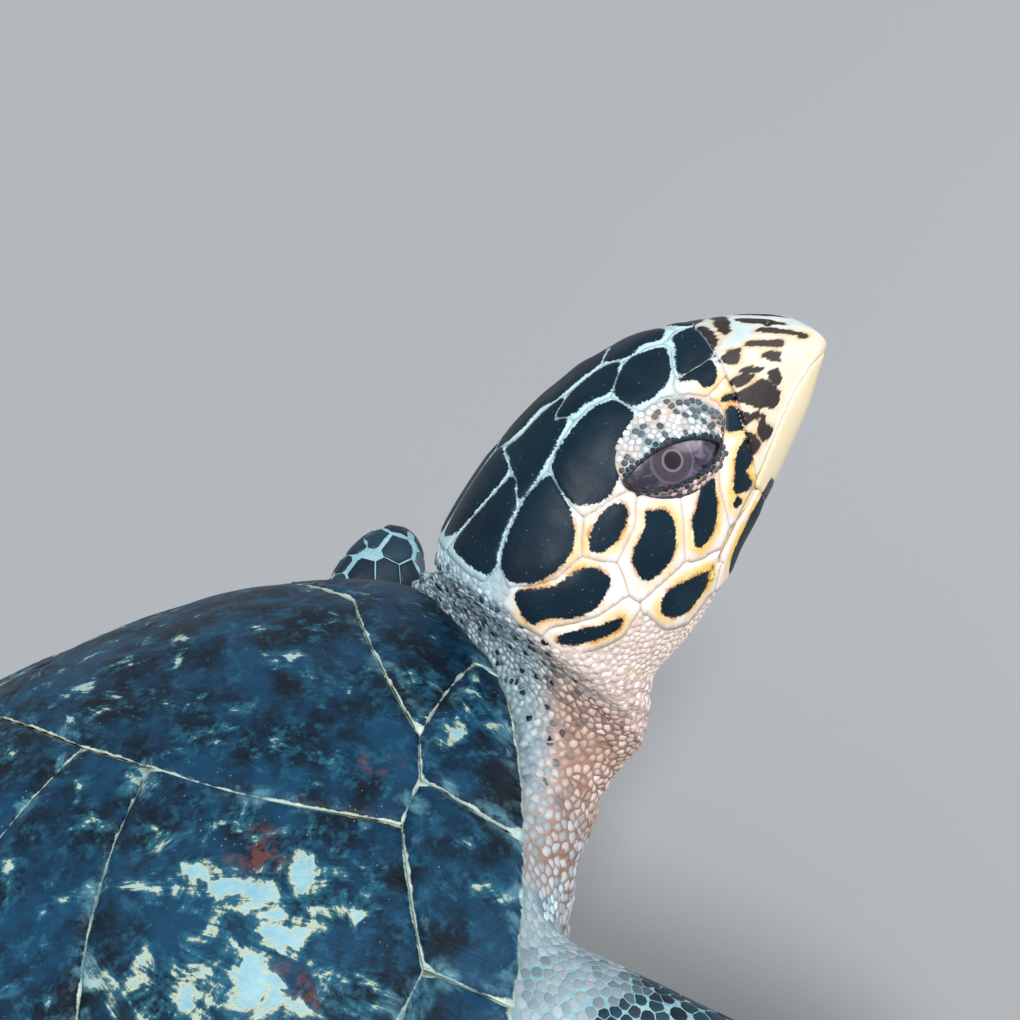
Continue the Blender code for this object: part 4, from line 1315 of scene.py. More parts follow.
def round_eye(places):
    local = to_head(places)
    return np.min([np.linalg.norm(to_eye(local, side) - (3, 3, 6), axis=1)
                   for side in SIDES.values()], axis=0) < 36


def on_neck(places):
    """Bare neck and throat between the head and the shell."""
    centre = np.array((-0.036, -0.345, 0.395))
    low = (places[:, 2] > 0.29) & (places[:, 1] < -0.286)
    return low & (np.linalg.norm((places - centre) / (1.0, 1.0, 1.1), axis=1) < 0.085)


def thin_out(piece, flesh):
    """Fewer faces on the trunk, which the shell covers."""
    facts = flesh.at(places_of(piece.data))
    group = piece.vertex_groups.new(name='covered')
    group.add(np.flatnonzero(facts[:, 0] < 0).tolist(), 1.0, 'REPLACE')
    step = piece.modifiers.new('thin', 'DECIMATE')
    step.vertex_group = 'covered'
    step.ratio = SKIN_KEPT
    apply_modifiers(piece)


def behind_head(places):
    """Where the neck leaves the head."""
    local = to_head(places)
    near = np.all(np.abs(local) < (70, 150, 90), axis=1)
    return near & (-local[:, 1] < -70) & (-local[:, 1] > -122)


def bill_depth(local):
    """Depth inside the side outline of the bill, in mm."""
    profile = np.column_stack([-local[:, 1], local[:, 2]])
    outlines = [np.array(points, float) for points in bill_outlines().values()]
    return np.max([inside_depth(profile, outline) for outline in outlines], axis=0)


def sink_head(places, normals):
    """Skin lowered under the bill and the eyes, and creased along the mouth."""
    local = to_head(places)
    near = near_head(-90, 90)(places)
    part = local[near]
    inward = -normals[near] @ HEAD_AXES
    sunk = part + inward * (1.6 * ease(bill_depth(part), -1.2, 0.6))[:, None]
    mouth = np.array([p for p in MOUTH_LINE if p[0] <= 20], float)[::-1]
    away = np.abs(-sunk[:, 2] + np.interp(-sunk[:, 1], mouth[:, 0], mouth[:, 1]))
    reach = ease(-sunk[:, 1], -34, -18)
    sunk += inward * (1.5 * (1 - ease(away, 0.3, 2.4)) * reach)[:, None]
    for side in SIDES.values():
        seen = to_eye(sunk, side)
        hollow = EYE_HOLLOW * (1 - ease(orbit_share(seen), 0.80, 0.99))
        seen[:, 2] -= np.where(seen[:, 2] > -8, hollow, 0)
        sunk = from_eye(seen, side)
    places[near] = from_head(sunk)


NECK_LONG = 190.0            # mm along the neck, over its folds


def folds(places, facts, weight):
    """Folds and creases of the neck and the throat, in metres along the normals."""
    along = facts[:, 1] * NECK_LONG
    throat = ease(upward(facts[:, 2]), 0.85, 0.35)
    drift = 9 * lumps(places, 0.045, 1.0) + 3 * lumps(places, 0.014, 2.0)
    deep = np.abs(np.sin((along + drift) * math.pi / 15)) ** 0.5 - 0.7
    fine = np.abs(np.sin((along + 0.7 * drift) * math.pi / 4.4)) ** 0.7 - 0.6
    rough = lumps(places, 0.006, 3.0)
    height = (0.9 + 1.2 * throat) * deep + (0.45 + 0.75 * throat) * fine + 0.5 * rough
    return height * MM * weight


def joined_flesh(forms, joined):
    """Trunk and lofts in one skin of even faces, fewer where the shell covers it."""
    flesh = Flesh(forms, [v.co.copy() for v in joined.verts])
    for rings in forms.values():
        joined.from_mesh(mesh_of(wrap(rings), 'part'))
    skin = new_piece(joined, 'skin', hide())
    remesh(skin, SKIN_VOXEL, 6)
    even_out(skin.data, EVEN_ROUNDS, behind_head)
    thin_out(skin, flesh)
    subdivide_where(skin, lambda p: on_neck(p) | round_eye(p) | near_head(-90, 30)(p))
    return skin, flesh


def build_skin():
    """One skin over all the flesh, with its creases."""
    forms = {'head': head_rings(), 'neck': neck_rings(), 'tail': tail_rings(), **limbs()}
    skin, flesh = joined_flesh(forms, trunk_copy())
    mesh = skin.data
    places, normals = places_of(mesh), normals_of(mesh)
    facts = flesh.at(places)
    neck = spread(mesh, facts[:, 0] == flesh.names.index('neck'), 14)
    covered = spread(mesh, facts[:, 0] < 0, 3)
    places -= normals * (SKIN_DEPTH + COVERED_DEPTH * covered)[:, None]
    free = neck * ease(places[:, 1], -0.26, -0.30) * ease(places[:, 0], 0.012, -0.004)
    places += normals * folds(places, facts, free)[:, None]
    sink_head(places, normals)
    move_to(mesh, places)
    mark_skin(mesh, flesh, facts)
    carry(skin, FLESH)
    return skin, flesh, facts


def mark_skin(mesh, flesh, facts):
    """Store where the skin's parts fade into each other, and what its finish reads."""
    part, along, turn = facts.T
    places = places_of(mesh)
    mark_head(mesh)
    store(mesh, 'limb', spread(mesh, part >= flesh.names.index('tail'), 10))
    store(mesh, 'head', spread(mesh, part == 0, 8))
    store(mesh, 'throat', spread(mesh, ease(upward(turn), 0.80, 0.35), 6))
    store(mesh, 'along', along)
    store(mesh, 'cover', spread(mesh, part < 0, 2))
    bare = ease(places[:, 1], -0.225, -0.255)
    bare *= ease(np.abs(places[:, 2] - JOIN_HEIGHT), 0.07, 0.05)
    store(mesh, 'join', bare * (part < 0))


# ---------------------------------------------------------------- scales of the head
HEAD_STEP = 0.95             # mm between the points of a head scale
HEAD_REACH = 11.0            # mm a head scale reaches beyond its dark centre
HEAD_SEAM = 0.22             # mm from a scale's edge to the middle of the seam
HEAD_SCALE_DEPTH = 0.0011
CRUMB = 60                   # faces of the smallest head scale that is kept
LID_LINE = [(25, 45), (20, 37), (10, 32.5), (0, 32), (-10, 35), (-18, 38.5), (-20.5, 41),
            (-18, 46), (-12, 51), (-5, 56), (4, 58), (11, 57.5), (18, 54.5), (24, 50)]


# Edge of the scaly part of the head, down its flank, from the nape to the mouth.
SCALY_LINE = [(-79, -20), (-79, 14), (-78, 27), (-79.5, 33), (-80.5, 40), (-79.5, 47),
              (-80, 53), (-76, 57), (-62, 62), (-52, 60.5), (-49, 64), (-49.5, 71),
              (-43, 77), (-31, 79), (-26, 84), (-21, 92), (-4, 96), (60, 97), (60, -20)]
SCALY_FRONT = [(44, 20), (38, 8), (32, -6), (23, -19), (14, -32)]


def scaly_depth(chart):
    """Distance of chart points inside the edge of the scaly part of the head, in mm."""
    return inside_depth(folded(chart), np.array(SCALY_LINE) * (1, ROUND_MM))


def line_of_profile(points):
    """Chart line (forward, turn) of a line on the head's flank, from a side view."""
    columns = [look_up(UP_TABLE, np.full(201, f - CHART_FORWARD[0]), np.arange(201))
               for f, _ in points]
    turns = [float(np.interp(-up, -column, CHART_ROUND)) * ROUND_MM
             for (_, up), column in zip(points, columns)]
    return np.array([f for f, _ in points]), np.array(turns)


def scale_mask(chart):
    """Distance inside the part of the head that bears scales, in mm."""
    flank = folded(chart)
    lids = -inside_depth(flank, chart_line(LID_LINE))
    forward, turn = line_of_profile(SCALY_FRONT)
    edge = np.interp(flank[:, 1], turn, forward, left=44.4, right=LOWER_BILL_BACK)
    front = (edge - flank[:, 0]) * 0.9
    mouth = np.interp(flank[:, 0], *line_of_profile(MOUTH_LINE[:3:-1]))
    over = np.where(flank[:, 0] > -26, np.abs(mouth - flank[:, 1]) - 0.5, 9)
    return np.min([lids - 0.6, front + 0.3, over, scaly_depth(chart)], axis=0)


# Smooth scale between the eye and the bill, whose dark bars have no seams.
LORE = [(47, 46), (36, 43.5), (27, 43.8), (25.5, 52), (22, 57), (14, 60), (4, 64), (3, 73),
        (14, 73), (27, 72), (34, 67), (42, 67), (47, 58)]


def seam_lines():
    """The line round which each head scale grows."""
    lore = chart_line(LORE)
    return [*SCALE_LINES.values(), lore, mirror_line(lore)]


def seam_field(chart, owner=None):
    """Distance of chart points to the edge of their own head scale, and its number."""
    depths = np.array([inside_depth(chart, line) for line in seam_lines()])
    owner = depths.argmax(0) if owner is None else owner
    mine = owner, np.arange(len(chart))
    own = depths[mine]
    depths[mine] = -np.inf
    seam = np.min([(own - depths.max(0)) / 2, own + HEAD_REACH, scale_mask(chart)], axis=0)
    return seam - HEAD_SEAM, owner


def snap_edge(bm, owner):
    """Move the points round every head scale onto its seam line, in the flat chart."""
    edge = [v for v in bm.verts if v.is_boundary]
    rank = {v: k for k, v in enumerate(edge)}
    beside = np.array([[rank[e.other_vert(v)] for e in v.link_edges if e.is_boundary][:2]
                       for v in edge])
    owner = owner[[v.index for v in edge]]
    spots = np.array([v.co[:2] for v in edge])
    step = 0.2
    for _ in range(4):
        seam, _ = seam_field(spots, owner)
        moved = [seam_field(spots + np.array(axis) * step, owner)[0] for axis in ((1, 0), (0, 1))]
        slopes = np.column_stack([(there - seam) / step for there in moved])
        steep = np.maximum((slopes ** 2).sum(1), 0.4)
        spots -= slopes * np.clip(seam / steep, -0.6, 0.6)[:, None]
        spots = spots * 0.5 + spots[beside].mean(1) * 0.5
    for vertex, spot in zip(edge, spots):
        vertex.co.xy = spot


def drop_crumbs(bm, least):
    """Delete the islands of fewer faces than that."""
    seen, crumbs = set(), []
    for start in bm.faces:
        if start in seen:
            continue
        island, queue = {start}, [start]
        while queue:
            for edge in queue.pop().edges:
                for face in edge.link_faces:
                    if face not in island:
                        island.add(face)
                        queue.append(face)
        seen |= island
        if len(island) < least:
            crumbs += island
    bmesh.ops.delete(bm, geom=crumbs, context='FACES')


def head_scale_sheet():
    """Flat sheet of the head's chart, with a gap along every seam."""
    bm = bmesh.new()
    length, girth = 166, 2 * 98 * ROUND_MM
    bmesh.ops.create_grid(bm, x_segments=int(length / HEAD_STEP),
                          y_segments=int(girth / HEAD_STEP), size=0.5)
    bmesh.ops.scale(bm, vec=(length, girth, 1), verts=bm.verts)
    bmesh.ops.translate(bm, vec=(length / 2 - 86, 0, 0), verts=bm.verts)
    seam, owner = seam_field(np.array([v.co[:2] for v in bm.verts]))
    bm.verts.index_update()
    lost = [f for f in bm.faces
            if min(seam[v.index] for v in f.verts) < -0.3 * HEAD_STEP
            or len({owner[v.index] for v in f.verts}) > 1]
    bmesh.ops.delete(bm, geom=lost, context='FACES')
    tips = [v for v in bm.verts
            if (len(v.link_faces) == 1 or len(v.link_edges) != len(v.link_faces))
            and sum(e.is_boundary for e in v.link_edges) != 2]
    bmesh.ops.delete(bm, geom=tips, context='VERTS')
    drop_crumbs(bm, CRUMB)
    snap_edge(bm, owner)
    return mesh_of(bm, 'sheet')


def chart_normals(chart, turn, here):
    """Outward normals of the smooth head at chart points."""
    way = np.sign(turn)
    ahead = from_chart(chart[:, 0] + 1, turn) - here
    aside = from_chart(chart[:, 0], np.abs(turn + way * 0.5) * way) - here
    normals = np.cross(ahead, aside * way[:, None])
    normals /= np.linalg.norm(normals, axis=1)[:, None]
    return normals * np.sign((normals * (here - (0, 0, -4))).sum(1))[:, None]


def build_head_scales():
    mesh = head_scale_sheet()
    chart = places_of(mesh)[:, :2]
    seam = np.maximum(seam_field(chart)[0], 0)
    turn = chart[:, 1] / ROUND_MM
    turn = np.where(np.abs(turn) < 1e-6, 1e-6, turn)
    here = from_chart(chart[:, 0], turn)
    rise = 0.22 + 0.28 * ease(seam, -0.1, 1.2) + 0.30 * ease(seam, 1, 6)
    swell = lumps(np.column_stack([chart, np.zeros(len(chart))]), 13.0)
    rise += 0.6 * swell * ease(seam, 0.5, 4)
    move_to(mesh, from_head(here + chart_normals(chart, turn, here) * (rise - 0.45)[:, None]))
    mark_chart(mesh, chart, darkness(chart))
    store(mesh, 'seam', seam)
    bake_map(mesh, (chart + (90, 130)) / 260)
    piece = piece_of(mesh, 'head_scales', shields())
    give_wall(piece, HEAD_SCALE_DEPTH)
    carry(piece, ['head'])


# ---------------------------------------------------------------- eyes and lids
LID_TURNS = 112


def smooth_head_tree():
    """Tree for rays against the smooth head."""
    bm = wrap(head_rings())
    tree = bvhtree.BVHTree.FromBMesh(bm)
    bm.free()
    return tree


def head_under(tree, p, q, side):
    """Height of the smooth head over the middle plane of the eye."""
    start = from_head(from_eye(np.array([[p, q, 40.0]]), side))[0]
    down = from_head(from_eye(np.array([[p, q, 0.0]]), side))[0] - start
    hit = tree.ray_cast(Vector(start), Vector(down).normalized(), 0.09)
    if hit[0] is None:
        return 0.0
    return to_eye(to_head(np.array([hit[0]])), side)[0, 2]


def slit_edge(angle):
    sine = np.sin(angle)
    reach = np.where(sine > 0, SLIT_RISE, SLIT_DROP) * np.abs(sine) ** 1.6 * np.sign(sine)
    return np.column_stack([SLIT_HALF * np.cos(angle), SLIT_PLACE + reach])


SLIT = slit_edge(np.linspace(0, 2 * math.pi, 200, endpoint=False))


def from_slit(seen):
    """Distance from the edge of the slit between the lids, in mm."""
    return -inside_depth(seen[:, :2], SLIT)


# Section of a lid, from its edge by the eye outwards and back underneath:
# share of the way to the orbit's edge, height over the lid's surface (mm), plain under part.
LID_SECTION = [(0.0, -2.6), (0.0, -0.7), (0.012, -0.25), (0.035, 0.0), (0.07, 0.10), (0.12, 0.05),
               (0.18, -0.05), (0.25, 0.05), (0.33, 0.08), (0.42, -0.1), (0.5, 0.1), (0.58, 0.12),
               (0.66, -0.15), (0.74, 0.1), (0.82, 0.05), (0.90, -0.15), (0.96, -0.7),
               (1.02, -1.6), (1.03, -3.6), (0.6, -3.8)]


def lid_rings(side, tree):
    angle = np.arange(LID_TURNS) * 2 * math.pi / LID_TURNS
    inner = slit_edge(angle)
    outer = np.column_stack([ORBIT_PLACE[0] + ORBIT[0] * np.cos(angle),
                             ORBIT_PLACE[1] + ORBIT[1] * np.sin(angle)])
    rings = []
    for share, lift in LID_SECTION:
        flat = inner + (outer - inner) * share
        lid = swell(flat[:, 0], flat[:, 1], LID)
        head = np.array([head_under(tree, p, q, side) for p, q in flat])
        fade = ease(share, 0.40, 1.0)
        height = lid * (1 - fade) + head * fade + lift
        rings.append(from_head(from_eye(np.column_stack([flat, height]), side)))
    return rings


def build_lids():
    finish = lid_hide()
    tree = smooth_head_tree()
    for name, side in SIDES.items():
        piece = new_piece(wrap(lid_rings(side, tree), closed=True), f'lids_{name}', finish)
        seen = to_eye(to_head(places_of(piece.data)), side)
        store(piece.data, 'q', seen[:, 1])
        store(piece.data, 'rim', from_slit(seen))
        carry(piece, ['head'])
        lid_scales(piece, side)


def build_eyes():
    finish = wet_eye()
    for name, side in SIDES.items():
        bm = bmesh.new()
        bmesh.ops.create_uvsphere(bm, u_segments=64, v_segments=40, radius=1.0)
        bmesh.ops.scale(bm, vec=EYEBALL, verts=bm.verts)
        piece = new_piece(bm, f'eyeball_{name}', finish)
        seen = places_of(piece.data)
        store(piece.data, 'p', seen[:, 0])
        store(piece.data, 'q', seen[:, 1])
        move_to(piece.data, from_head(from_eye(seen, side)))
        if np.linalg.det(EYE_AXES) * side < 0:
            piece.data.flip_normals()
        carry(piece, [f'eye_{name}'])


# ---------------------------------------------------------------- claws and stand
CLAW_LONG = 16.5             # mm
CLAW_THICK = 4.6
CLAW_BEND = 3.0
CLAW_ROOTED = 4.0
CLAW_AT = 3                  # station of the limb that bears the claw


def build_claw(name, station, ahead, side, finish):
    """Horny claw on the leading edge of a blade, bent towards the blade's tip."""
    centre, across, reach, _ = station
    out = -Vector(across).normalized()
    aside = (Vector(ahead) - Vector(centre)).normalized()
    aside = (aside - out * aside.dot(out)).normalized()
    bm = bmesh.new()
    bmesh.ops.create_cone(bm, cap_ends=True, segments=24, radius1=CLAW_THICK,
                          radius2=CLAW_THICK / 4, depth=CLAW_LONG)
    sides = [e for e in bm.edges if abs(e.verts[0].co.z - e.verts[1].co.z) > CLAW_LONG / 2]
    bmesh.ops.subdivide_edges(bm, edges=sides, cuts=10)
    for vertex in bm.verts:
        share = vertex.co.z / CLAW_LONG + 0.5
        narrow = math.sqrt(max(1 - share ** 2.2, 0.03)) / max(1 - 0.75 * share, 0.05)
        vertex.co.x = vertex.co.x * narrow + CLAW_BEND * share ** 2
        vertex.co.y *= 0.8 * narrow
    tip = [f for f in bm.faces if f.calc_center_median().z > CLAW_LONG / 2 - 0.01]
    bmesh.ops.poke(bm, faces=tip, offset=CLAW_THICK / 8)
    middle = Vector(centre) + out * (reach + (CLAW_LONG / 2 - CLAW_ROOTED) * MM)
    turn = Matrix((aside, out.cross(aside), out)).transposed().to_4x4()
    middle = Matrix.Translation(middle) @ turn @ Matrix.Scale(MM, 4)
    bmesh.ops.transform(bm, matrix=middle, verts=bm.verts)
    if side < 0:
        bmesh.ops.scale(bm, vec=(-1, 1, 1), verts=bm.verts)
        bmesh.ops.reverse_faces(bm, faces=bm.faces)
    bmesh.ops.translate(bm, vec=SHELL_CENTRE, verts=bm.verts)
    carry(new_piece(bm, f'horny_{name}', finish), [name])


def build_claws():
    finish = claw_horn()
    for name, side in SIDES.items():
        for end, stations, mirror in (('front', FRONT_FLIPPERS[name], 1),
                                      ('hind', HIND_FLIPPER, side)):
            ahead = stations[CLAW_AT + 1][0]
            build_claw(f'claw_{end}_{name}', stations[CLAW_AT], ahead, mirror, finish)


BASE_SIZE = (0.30, 0.46, 0.028)
BASE_EDGE = 0.005
ROD_RADIUS = 0.011
ROD_PLACES = {'front': -0.13, 'rear': 0.12}
COLLAR_RADIUS = 0.019
COLLAR_HEIGHT = 0.007
COLLAR_EDGE = 0.001
COLLAR_FILLET = 0.0015
ROD_SUNK = 0.002             # how far a rod runs into its collar's board and the belly shield


def build_board():
    bm = bmesh.new()
    bmesh.ops.create_cube(bm, size=1.0)
    bmesh.ops.scale(bm, vec=BASE_SIZE, verts=bm.verts)
    bmesh.ops.bevel(bm, geom=bm.edges[:], offset=BASE_EDGE, affect='EDGES', segments=5,
                    profile=0.5, material=-1)
    bmesh.ops.translate(bm, vec=(0, 0, BASE_SIZE[2] / 2), verts=bm.verts)
    carry(new_piece(bm, 'stand_board', satin_paint(), 40), ['stand_base'])


def build_rod(name, y, steel):
    """Steel rod in a collar, up to the belly shield."""
    foot = BASE_SIZE[2] - ROD_SUNK
    head = underside(np.zeros(1), np.array([y / MM]))[0] * MM + RIM_HEIGHT - BELLY_DEPTH * MM
    rim = foot + COLLAR_HEIGHT
    profile = [(0, foot), (COLLAR_RADIUS, foot), (COLLAR_RADIUS, rim),
               (COLLAR_RADIUS - COLLAR_EDGE, rim + COLLAR_EDGE),
               (ROD_RADIUS + COLLAR_FILLET, rim + COLLAR_EDGE),
               (ROD_RADIUS, rim + COLLAR_EDGE + COLLAR_FILLET),
               (ROD_RADIUS, head + ROD_SUNK), (0, head + ROD_SUNK)]
    bm = bmesh.new()
    line = [bm.verts.new((r, 0, z)) for r, z in profile]
    edges = [bm.edges.new(pair) for pair in zip(line, line[1:])]
    bmesh.ops.spin(bm, geom=line + edges, angle=2 * math.pi, steps=48, axis=(0, 0, 1),
                   cent=(0, 0, 0), use_merge=True)
    bmesh.ops.remove_doubles(bm, verts=bm.verts, dist=1e-5)
    bmesh.ops.recalc_face_normals(bm, faces=bm.faces)
    bmesh.ops.translate(bm, vec=(0, y, 0), verts=bm.verts)
    carry(new_piece(bm, f'stand_tube_{name}', steel, 30), [f'stand_rod_{name}'])


def build_stand():
    """Painted board with two steel rods in collars."""
    build_board()
    steel = brushed_steel()
    for name, y in ROD_PLACES.items():
        build_rod(name, y, steel)


# ---------------------------------------------------------------- small scales
GAP = 0.07                   # share of a small scale's size left bare round it
GAP_FROM = 2.6               # mm; round larger scales the gap stays as wide as round this one
WALL = 0.12 * MM             # how far the side of a flat scale leans in
SUNK = 0.12                  # share of its size that a small scale stands in the skin
CELL_SIDES = 9
WIDEST = 0.80                # reach of a small scale, as a share of its size
CROWDING = 3.5               # spots thrown for each one that fits
ASKEW = (0.31, 0.52, 0.79)   # direction that no part of the skin faces exactly
BAKE_PATCH = 0.0015          # reach of a small scale on the bake map


def scatter(mesh, size, seed):
    """Spots on the skin no nearer to each other than their size (mm); none where it is 0."""
    mesh.calc_loop_triangles()
    corners = read(mesh.loop_triangles, 'vertices', 3, int)
    corners = corners[np.all(size[corners] > 0, axis=1)]
    places = places_of(mesh)[corners]
    reach = size[corners].mean(1)
    facing = np.cross(places[:, 1] - places[:, 0], places[:, 2] - places[:, 0])
    area = np.linalg.norm(facing, axis=1)
    facing /= np.maximum(area, 1e-12)[:, None]
    wanted = CROWDING * area / MM ** 2 / reach ** 2
    chance = np.random.default_rng(seed)
    picked = chance.choice(len(corners), int(wanted.sum()), p=wanted / wanted.sum())
    share = chance.random((len(picked), 2))
    share = np.where(share.sum(1)[:, None] > 1, 1 - share, share)
    near = places[picked]
    spots = (near[:, 0] + (near[:, 1] - near[:, 0]) * share[:, :1]
             + (near[:, 2] - near[:, 0]) * share[:, 1:])
    return keep_apart(spots, reach[picked], facing[picked])


def keep_apart(spots, sizes, facing):
    """The spots without those that crowd an earlier one on the same side of the skin."""
    tree = tree_of(spots)
    gone = np.zeros(len(spots), bool)
    kept = []
    for k, spot in enumerate(spots):
        if not gone[k]:
            kept.append(k)
            near = np.array([hit[1] for hit in tree.find_range(spot, sizes[k] * MM)])
            gone[near[facing[near] @ facing[k] > 0]] = True
    return spots[kept], sizes[kept]


def clip(polygon, normal, limit):
    """The part of a flat polygon on the near side of a line."""
    depth = polygon @ normal - limit
    kept = []
    for k in range(len(polygon)):
        n = (k + 1) % len(polygon)
        if depth[k] <= 0:
            kept.append(polygon[k])
        if (depth[k] <= 0) != (depth[n] <= 0):
            share = depth[k] / (depth[k] - depth[n])
            kept.append(polygon[k] + (polygon[n] - polygon[k]) * share)
    return np.array(kept)


def cell_outlines(spots, sizes, normals):
    """For each spot its share of the surface round it, as a flat polygon in mm."""
    tree = tree_of(spots)
    angle = np.arange(CELL_SIDES) * 2 * math.pi / CELL_SIDES
    start = np.column_stack([np.cos(angle), np.sin(angle)])
    frames, outlines = [], []
    for k, (spot, size, normal) in enumerate(zip(spots, sizes, normals)):
        across = np.cross(normal, ASKEW)
        across /= np.linalg.norm(across)
        axes = np.array([across, np.cross(normal, across)])
        polygon = start * size * WIDEST
        for _, n, _ in tree.find_range(spot, size * 2.1 * MM):
            if n != k and normals[n] @ normal > 0:
                flat = axes @ (spots[n] - spot) / MM
                length = max(np.linalg.norm(flat), 1e-6)
                share = size / (size + sizes[n])
                polygon = clip(polygon, flat / length, length * share)
                if len(polygon) < 3:
                    break
        frames.append(axes)
        outlines.append(polygon)
    return frames, outlines


def tidy_corners(polygon, least):
    """Polygon without corners that nearly touch the one before."""
    step = np.linalg.norm(polygon - np.roll(polygon, 1, axis=0), axis=1)
    return polygon[step > least]


class Scales:
    """Many small closed scales over the skin, made as one mesh."""

    def __init__(self, mesh, surface, size, seed=SEED):
        self.surface = surface
        self.spots, self.sizes = scatter(mesh, size, seed)
        hits = [self.surface.find_nearest(spot) for spot in self.spots]
        self.normals = np.array([hit[1] for hit in hits])
        self.corner = np.array([mesh.polygons[hit[2]].vertices[0] for hit in hits])

    def build(self, name, finish, lift, plump, marks, chart, beads=False):
        """Raise each scale by a share of its size; `plump` is its dome's share."""
        bm = bmesh.new()
        heights = bm.verts.layers.float.new('height')
        owners, groups = self.lay_faces(bm)
        for vert in bm.verts:
            vert[heights] = -SUNK
        bm.normal_update()
        for level, faces in groups.items():
            self.raise_faces(bm, faces, 2 ** (level / 2) * MM, lift, plump, beads)
        bmesh.ops.holes_fill(bm, edges=[e for e in bm.edges if e.is_boundary])
        bmesh.ops.recalc_face_normals(bm, faces=bm.faces)
        piece = new_piece(bm, name, finish)
        self.mark(piece.data, owners, marks, chart)
        return piece

    def lay_faces(self, bm):
        """A sunk face under each scale; its owner by point, and the faces by their size."""
        owners, groups = [], {}
        frames, outlines = cell_outlines(self.spots, self.sizes, self.normals)
        rows = zip(self.spots, self.sizes, frames, outlines)
        for k, (spot, size, axes, polygon) in enumerate(rows):
            polygon = tidy_corners(polygon, size * 0.12) if len(polygon) > 2 else polygon
            if len(polygon) < 4:
                continue
            outline = spot + polygon * (1 - GAP * min(1, GAP_FROM / size)) @ axes * MM
            low = [self.surface.find_nearest(p) for p in outline]
            sunk = [hit[0] - hit[1] * SUNK * size * MM for hit in low]
            face = bm.faces.new([bm.verts.new(p) for p in sunk])
            owners += [k] * len(polygon)
            groups.setdefault(round(math.log2(size) * 2), []).append(face)
        return np.array(owners), groups

    def raise_faces(self, bm, faces, size, lift, plump, beads):
        """Walls, crown and middle point of scales of about one size."""
        wall = 0.09 * size if beads else min(0.03 * size, WALL)
        bmesh.ops.inset_individual(bm, faces=faces, thickness=wall)
        self.raise_over_skin(bm, corners_of(faces), lift, size)
        if not beads:
            bmesh.ops.inset_individual(bm, faces=faces, thickness=0.14 * size)
            self.raise_over_skin(bm, corners_of(faces), lift + plump, size)
        edge = corners_of(faces)
        fan = bmesh.ops.poke(bm, faces=faces)['faces']
        top = lift + plump * (1.0 if beads else 1.35)
        self.raise_over_skin(bm, corners_of(fan) - edge, top, size)

    def raise_over_skin(self, bm, verts, share, size):
        """Set points of scales at a share of their size over the skin."""
        heights = bm.verts.layers.float['height']
        for vert in verts:
            place, normal, _, _ = self.surface.find_nearest(vert.co)
            vert.co = place + normal * share * size
            vert[heights] = share

    def mark(self, mesh, owners, marks, chart):
        """Store each scale's numbers on all of its points, and its patch of the bake map."""
        owner = owners[island_starts(mesh)]
        for key, values in marks(self).items():
            store(mesh, key, values[owner])
        chance = np.random.default_rng(SEED)
        store(mesh, 'tone', chance.random(len(self.spots))[owner])
        away = places_of(mesh) - self.spots[owner]
        across = np.cross(self.normals[owner], ASKEW)
        across /= np.linalg.norm(across, axis=1)[:, None]
        aside = np.cross(self.normals[owner], across)
        flat = np.column_stack([(away * across).sum(1), (away * aside).sum(1)])
        flat *= BAKE_PATCH / (self.sizes[owner] * MM)[:, None]
        bake_map(mesh, chart[self.corner[owner]] + flat)


def island_starts(mesh):
    """Lowest point number of the island that each point belongs to."""
    near, far = edge_ends(mesh)
    label = np.arange(len(mesh.vertices))
    while True:
        least = np.minimum(label[near], label[far])
        before = label.copy()
        np.minimum.at(label, near, least)
        np.minimum.at(label, far, least)
        if (label == before).all():
            return label


def skin_chart(facts):
    """Bake map of the small scales: each part of the skin unrolled in its own strip."""
    part, along, turn = facts.T
    return np.column_stack([0.02 + 0.96 * turn, (part + 1.05 + 0.9 * along) / 9])


def spaced(spots, gap):
    """Picks spots that lie no nearer to each other than the gap, in metres."""
    tree = tree_of(spots)
    gone, kept = np.zeros(len(spots), bool), np.zeros(len(spots), bool)
    for k in np.random.default_rng(SEED).permutation(len(spots)):
        if not gone[k]:
            kept[k] = True
            gone[[hit[1] for hit in tree.find_range(spots[k], gap)]] = True
    return kept


NAPE_SPACING = 0.0064        # between the spots of the nape


def spots_near(places):
    """Darkness of each small scale of the nape, in uneven spots of one to three scales."""
    tree = tree_of(places[spaced(places, NAPE_SPACING)])
    away = np.array([tree.find(p)[2] for p in places]) / MM
    strength = 0.45 + 1.0 * np.random.default_rng(SEED + 3).random(len(places))
    return np.clip(ease(away, 3.2, 2.0) * strength, 0, 1)


def surface_tree(mesh):
    return bvhtree.BVHTree.FromPolygons([v.co for v in mesh.vertices],
                                        [p.vertices[:] for p in mesh.polygons])


NECK_COVERED = -0.275        # the shell covers the neck behind this place
JOIN_BACK = -0.262           # small scales run this far back between neck and shoulder
JOIN_HEIGHT = 0.3375         # middle of the bare patch there
JOIN_HALF = 0.05


